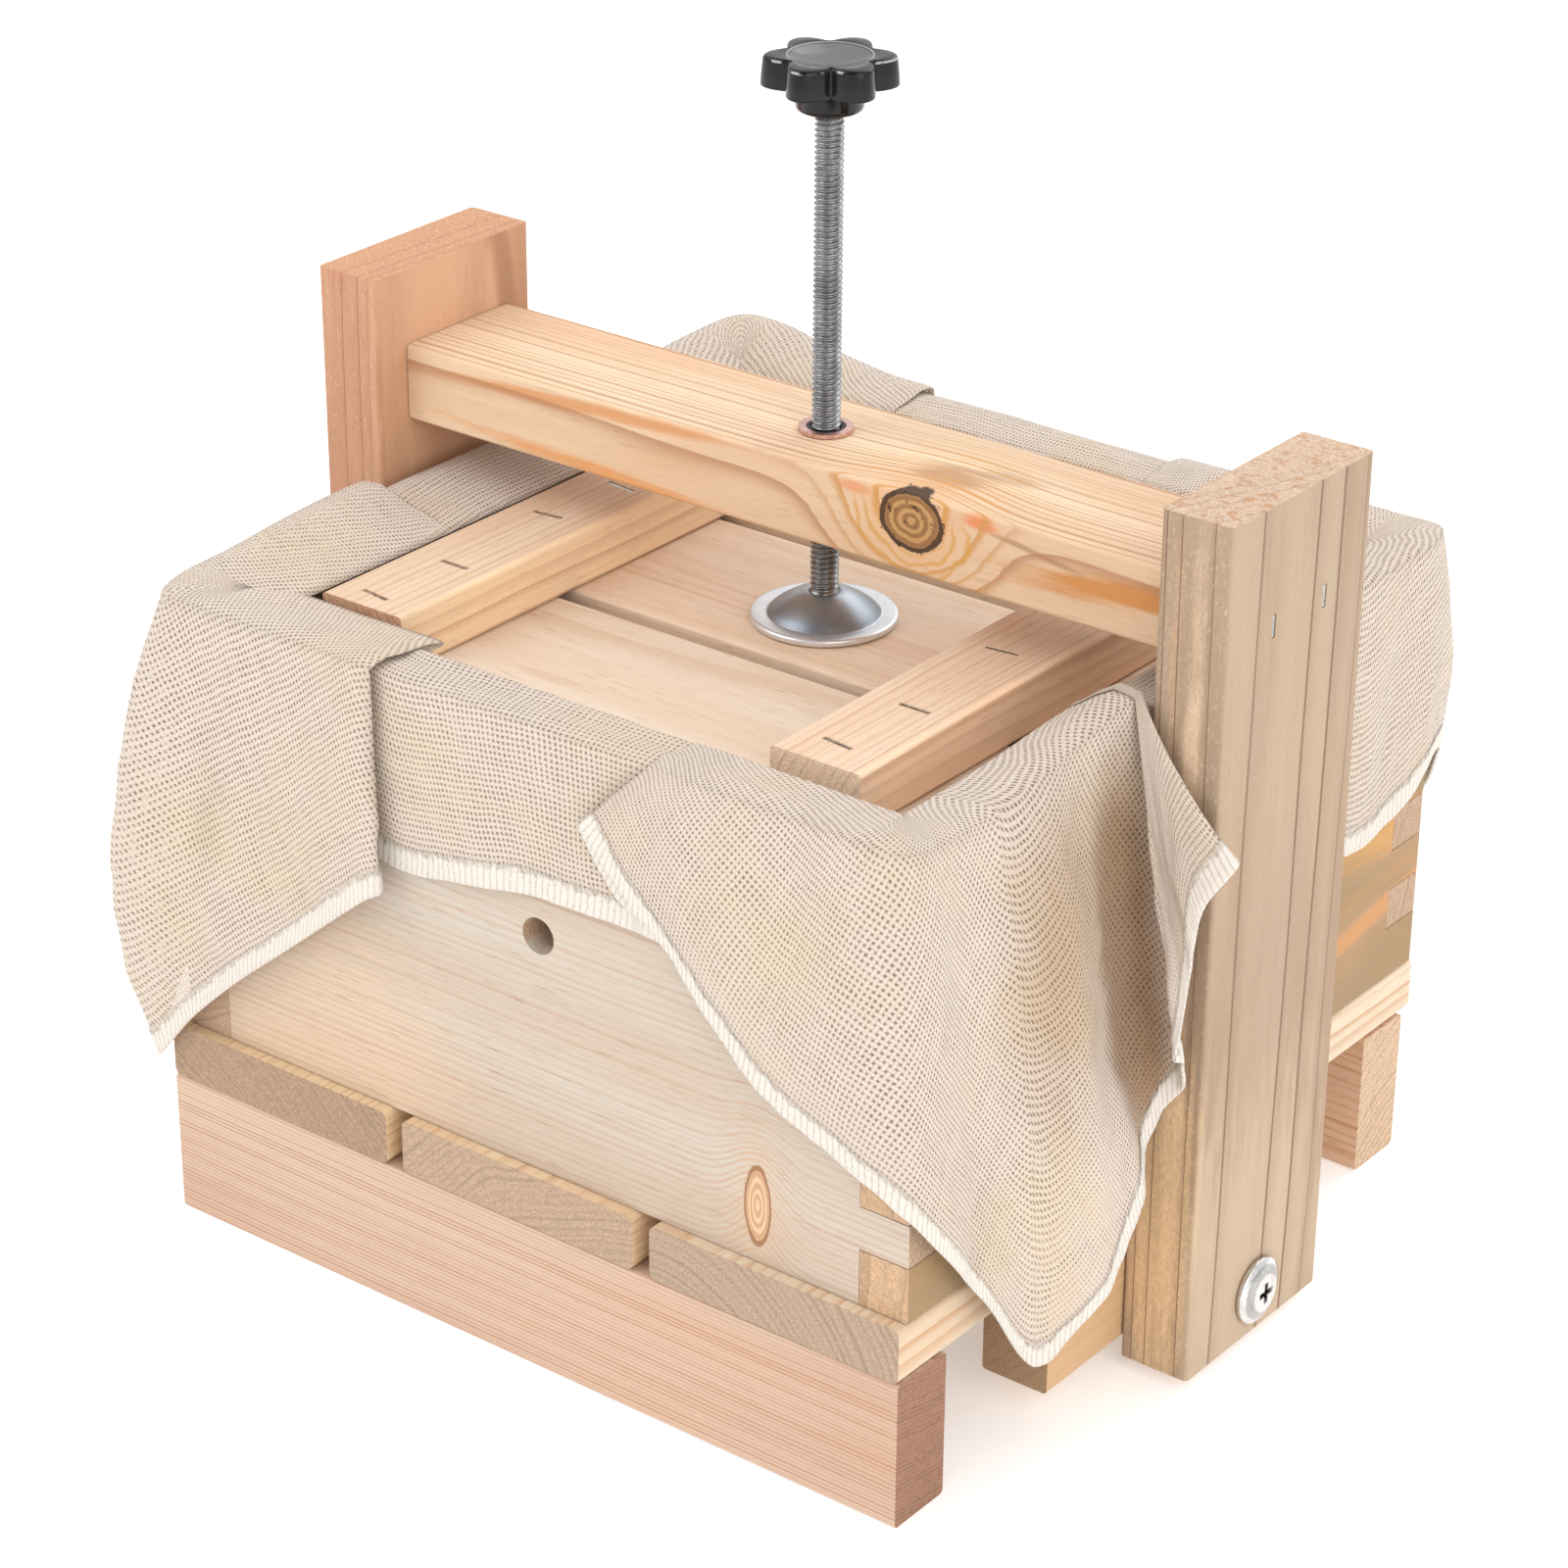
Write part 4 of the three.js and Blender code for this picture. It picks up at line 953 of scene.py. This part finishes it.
def dome_painted_reflection(net):
    """Painted reflection: the foot's dome darker and bluer than its rim, most of all by the groove."""
    radius = around(net, "XY", (SCREW_X, SCREW_Y))[0]
    return net.times(net.ramp(radius, 15.9, 15.3), net.ramp(radius, 3.0, 15.0, 0.5, 0.74))


def bore_painted_shade(net):
    """Painted shade: a dark ring for the gap between the insert's bore and the screw."""
    radius = around(net, "XY", (SCREW_X, SCREW_Y))[0]
    return net.ramp(radius, 5.6, 5.1)


def moulded_plastic():
    """Black plastic, with a painted highlight in the knob's dish, and painted glints round the dish's rim
    and along the upper edge.
    """
    material, net = new_material("black_plastic")
    place = net.place()
    scuffs = net.noise(net.scaled(place, 900, 300, 900), 1.0, 4.0, 0.7)
    colour = net.mix(scuffs, rgb(12, 12, 13), rgb(26, 26, 27))
    radius, x, y = around(net, "XY", (SCREW_X, SCREW_Y))
    height = net.split(net.place_mm())[2]
    top = net.ramp(height, KNOB_TOP - 3.0, KNOB_TOP - 2.6)

    # painted highlight in the dish, paler towards one side
    dish = net.times(top, net.ramp(radius, DISH_RADIUS, DISH_RADIUS - 0.7))
    dish_highlight = net.ramp(net.minus(y, x), -9.0, 12.0, 0.25, 0.8)
    colour = net.mix(net.times(dish, dish_highlight), colour, rgb(120, 120, 121))
    # painted glint round the rim of the dish
    lip_glint = net.ramp(net.absolute(net.minus(radius, DISH_RADIUS + 0.15)), 0.35, 0.1)
    colour = net.mix(net.times(net.times(top, lip_glint), 0.5), colour, rgb(190, 190, 191))
    # painted glints, broken in patches, along the upper edge outside the dish
    edge = net.ramp(net.absolute(net.minus(height, KNOB_TOP - 0.7)), 0.4, 0.15)
    glint_breaks = net.ramp(net.noise(place, 220.0, 1.0), 0.5, 0.6, 0.0, 0.6)
    outside = net.math("GREATER_THAN", radius, DISH_RADIUS + 0.7)
    colour = net.mix(net.times(edge, net.times(glint_breaks, outside)), colour, rgb(206, 206, 207))

    return finished(material, net, {
        "Base Color": colour, "Roughness": net.ramp(scuffs, 0.35, 0.75, 0.1, 0.26),
        "Normal": net.bump(net.noise(place, 260.0, 2.0), 0.00005, 0.4), "Specular IOR Level": 0.3})


def loft(name, rings, step=0):
    """A closed skin over rings of points in mm; step is how many rings the last column climbs."""
    rings = np.asarray(rings, float)
    rows, columns = rings.shape[:2]
    faces = []
    for j in range(columns):
        k, climb = (j + 1) % columns, step * (j == columns - 1)
        faces += [(i * columns + j, (i + climb) * columns + k, (i + 1 + climb) * columns + k,
                   (i + 1) * columns + j) for i in range(rows - 1 - climb)]
    if not step:
        faces.append(tuple(range(columns))[::-1])
        faces.append(tuple((rows - 1) * columns + j for j in range(columns)))
    return mesh_piece(name, rings.reshape(-1, 3), faces)


def ring_round(turn, radius, z):
    """A ring of points about the screw's axis, at those angles."""
    return np.column_stack([SCREW_X + radius * np.cos(turn), SCREW_Y + radius * np.sin(turn),
                            np.broadcast_to(z, turn.shape)])


def lathe(name, profile, columns):
    """A turned piece on the screw's axis, from (radius, z) points."""
    turn = np.linspace(0, 2 * math.pi, columns, endpoint=False)
    return loft(name, [ring_round(turn, r, z) for r, z in profile])


def add_thread():
    """The thread is a strip that climbs one pitch a turn."""
    low, high = 179.6, 314.6
    depths = 1 - np.array([1, 1, 0.72, 0.3, 0, 0, 0.3, 0.72])
    levels = len(depths)
    turn = np.linspace(0, 1, 40, endpoint=False)
    rings = [ring_round(2 * math.pi * turn, ROD_RADIUS - THREAD_DEPTH * depths[i % levels],
                        low + ROD_PITCH * (i / levels + turn))
             for i in range(int((high - low) / ROD_PITCH * levels))]
    return loft("screw_thread", rings, step=levels)


def add_ball():
    """The ball on the screw's lower end, which turns in the foot."""
    lean = np.radians(np.linspace(-88, 50, 16))
    profile = [(BALL_RADIUS * math.cos(a), BALL_Z + BALL_RADIUS * math.sin(a)) for a in lean]
    return lathe("screw_ball", profile + [(ROD_RADIUS - THREAD_DEPTH, 181.6)], 48)


def add_knob():
    """Six broad lobes with narrow valleys, rounded edges, a dished top and a short hub."""
    turn = np.linspace(0, 2 * math.pi, 240, endpoint=False)
    wave = (0.5 + 0.5 * np.cos(LOBES * turn)) ** 0.62
    edge = VALLEY_RADIUS + (LOBE_RADIUS - VALLEY_RADIUS) * wave
    hub = ((3.95, 321), (3.95, 313.6), (5.6, 313.5), (8.0, 313.55), (8.7, 314.0), (9.0, 315.0),
           (9.1, 319.4), (9.3, 319.75))
    low_bow, bow = 0.6, 1.2
    sphere = (DISH_RADIUS ** 2 + DISH_DEPTH ** 2) / (2 * DISH_DEPTH)
    levels = [*hub, (edge - 2.4, 319.9)]
    for a in np.radians([0, 30, 60, 90]):
        levels.append((edge - 0.5 * (1 - math.sin(a)), 319.9 + low_bow * (1 - math.cos(a))))
    levels.append((edge - 0.25, 323.5))
    for a in np.radians([0, 22, 45, 67, 90]):
        levels.append((edge - 0.6 - bow * (1 - math.cos(a)), KNOB_TOP - bow + bow * math.sin(a)))
    levels += [(edge * 0.4 + (DISH_RADIUS + 0.2) * 0.6, KNOB_TOP), (DISH_RADIUS + 0.35, KNOB_TOP - 0.02),
               (DISH_RADIUS, KNOB_TOP - 0.2)]
    for r in (10.4, 9, 7.2, 5, 2.8, 0.6):
        levels.append((r, KNOB_TOP - 2.75 + sphere - math.sqrt(sphere ** 2 - r ** 2)))
    return loft("knob", [ring_round(turn + KNOB_PHASE, r, z) for r, z in levels])


def add_foot():
    """A pressed foot: flat rim with a turned edge, a groove, and a dome up to the screw's neck."""
    underside = [(3.9, 172.4), (14.0, 171.85), (19.7, 171.8)]
    rim = [(20.1, 172.0), (20.2, 172.6), (20.2, 173.2), (20.0, 173.62), (19.5, 173.8), (18.6, 173.72)]
    groove = [(16.2, 173.7), (15.7, 173.55), (15.4, 173.75)]
    dome = [(14.8, 174.5), (13.4, 175.7), (11.2, 177.2), (8.8, 178.6), (6.8, 179.5), (5.3, 180.0)]
    neck = [(4.5, 180.1), (4.2, 179.9), (4.1, 178.5)]
    return lathe("foot", underside + rim + groove + dome + neck, 128)


def add_bolt(side):
    """A wide chamfered head with a cross recess pressed into its face."""
    turn = np.linspace(0, 2 * math.pi, 96, endpoint=False)
    levels = [(9.3, 0.0), (9.5, 0.15), (9.5, 1.35), (9.3, 1.6), (7.2, 2.7), (5.4, 3.4), (4.9, 3.55)]
    levels += [(r, BOLT_FACE) for r in np.linspace(4.7, 0.15, 16)]
    rings = []
    for r, h in levels:
        x, y = r * np.cos(turn), r * np.sin(turn)
        if h == BOLT_FACE:
            arms = np.minimum(np.maximum(np.abs(x) / 2.5, np.abs(y) / 0.62),
                              np.maximum(np.abs(y) / 2.5, np.abs(x) / 0.62))
            h = BOLT_FACE - RECESS_DEPTH * np.clip((1.25 - arms) / 0.5, 0, 1)
        out = np.broadcast_to(side * (149.55 + h), turn.shape)
        rings.append(np.column_stack([out, BOLT_Y + x, BOLT_Z + y]))
    return loft(f"bolt_{'right' if side > 0 else 'left'}", rings)


THREAD_STEEL = metal("thread_steel", (128, 129, 131), (158, 159, 162), 0.26, 0.25, metallic=0.8)
# zinc with a painted reflection on the foot's dome, nickel and brass with painted shade in the bolts'
# recesses and round the insert's bore
ZINC = metal("zinc_steel", (222, 225, 229), (234, 236, 240), 0.38, 0.1, dirt=0.03, metallic=0.85,
             shadow=dome_painted_reflection, tone=(96, 112, 128))
NICKEL = metal("bolt_nickel", (206, 205, 203), (228, 227, 225), 0.2, 0.2, dirt=0.04,
               shadow=bolt_painted_shade, tone=(70, 68, 66))
BRASS = metal("insert_brass", (204, 162, 152), (228, 192, 184), 0.36, 0.5,
              shadow=bore_painted_shade, tone=(38, 30, 28))
WIRE = metal("staple_wire", (160, 158, 156), (210, 208, 206), 0.34)
DULL_WIRE = metal("staple_wire_dull", (104, 94, 84), (164, 152, 140), 0.5)
PLASTIC = moulded_plastic()

for piece, node, body, material in (
        (add_thread(), "threaded_rod", "screw", THREAD_STEEL),
        (add_ball(), "threaded_rod", "screw", THREAD_STEEL),
        (add_knob(), "star_knob", "screw", PLASTIC),
        (add_foot(), "foot_plate", "foot", ZINC),
        (add_bolt(-1), "frame_bolt_left", "press", NICKEL),
        (add_bolt(1), "frame_bolt_right", "press", NICKEL)):
    wear(piece, material)
    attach(piece, body)
    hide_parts(node)

for name, node in NODES.items():
    if "staple" in name:
        on_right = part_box(name)[0][0] > 0
        wear(node, DULL_WIRE if name.startswith("board_staple") and on_right else WIRE)
    elif "insert" in name:
        wear(node, BRASS)


# -------------------- floor and light
def add_floor():
    bpy.ops.mesh.primitive_plane_add(size=14, location=(0, 0, -0.0002))
    floor = bpy.context.object
    floor.name = "floor"
    material, net = new_material("floor")
    grain = net.ramp(net.noise(net.place(), 30.0, 3.0), 0.3, 0.7)
    wear(floor, finished(material, net, {
        "Base Color": net.mix(grain, rgb(250, 250, 250), rgb(252, 252, 252)), "Roughness": 0.9,
        "Specular IOR Level": 0.1, "Emission Color": (1, 1, 1, 1), "Emission Strength": 0.3}))


def add_dark_card():
    """A dark card high in front, which only the shiny parts reflect."""
    bpy.ops.mesh.primitive_plane_add(size=1.5, location=(0.15, -1.1, 1.75))
    card = bpy.context.object
    card.name = "dark_card"
    card.rotation_euler = (Vector((0, 0, 0.15)) - card.location).to_track_quat("Z", "Y").to_euler()
    for ray in ("camera", "diffuse", "shadow", "transmission"):
        setattr(card, f"visible_{ray}", False)
    material, net = new_material("dark_card")
    felt = net.mix(net.noise(net.place(), 40.0, 3.0), rgb(20, 20, 20), rgb(34, 34, 34))
    wear(card, finished(material, net, {"Base Color": felt, "Roughness": 1.0}))


def add_light():
    """A white sky, and three square lamps: key from the left, fill from the right, rim from behind."""
    world = bpy.data.worlds.new("studio")
    world.use_nodes = True
    background = world.node_tree.nodes["Background"]
    background.inputs["Color"].default_value = (1, 1, 1, 1)
    background.inputs["Strength"].default_value = 0.96
    scene.world = world
    scene.view_settings.view_transform = "Standard"
    for name, place, size, power in (("key", (-0.9, -1.0, 1.5), 1.5, 10.5),
                                     ("fill", (1.5, -0.7, 0.9), 1.4, 10),
                                     ("rim", (0.1, 1.4, 1.5), 1.4, 10)):
        data = bpy.data.lights.new(name, "AREA")
        data.shape, data.size, data.energy = "SQUARE", size, power
        lamp = bpy.data.objects.new(name, data)
        lamp.location = place
        lamp.rotation_euler = (Vector((0, 0, 0.12)) - Vector(place)).to_track_quat("-Z", "Y").to_euler()
        scene.collection.objects.link(lamp)


add_floor()
add_dark_card()
add_light()
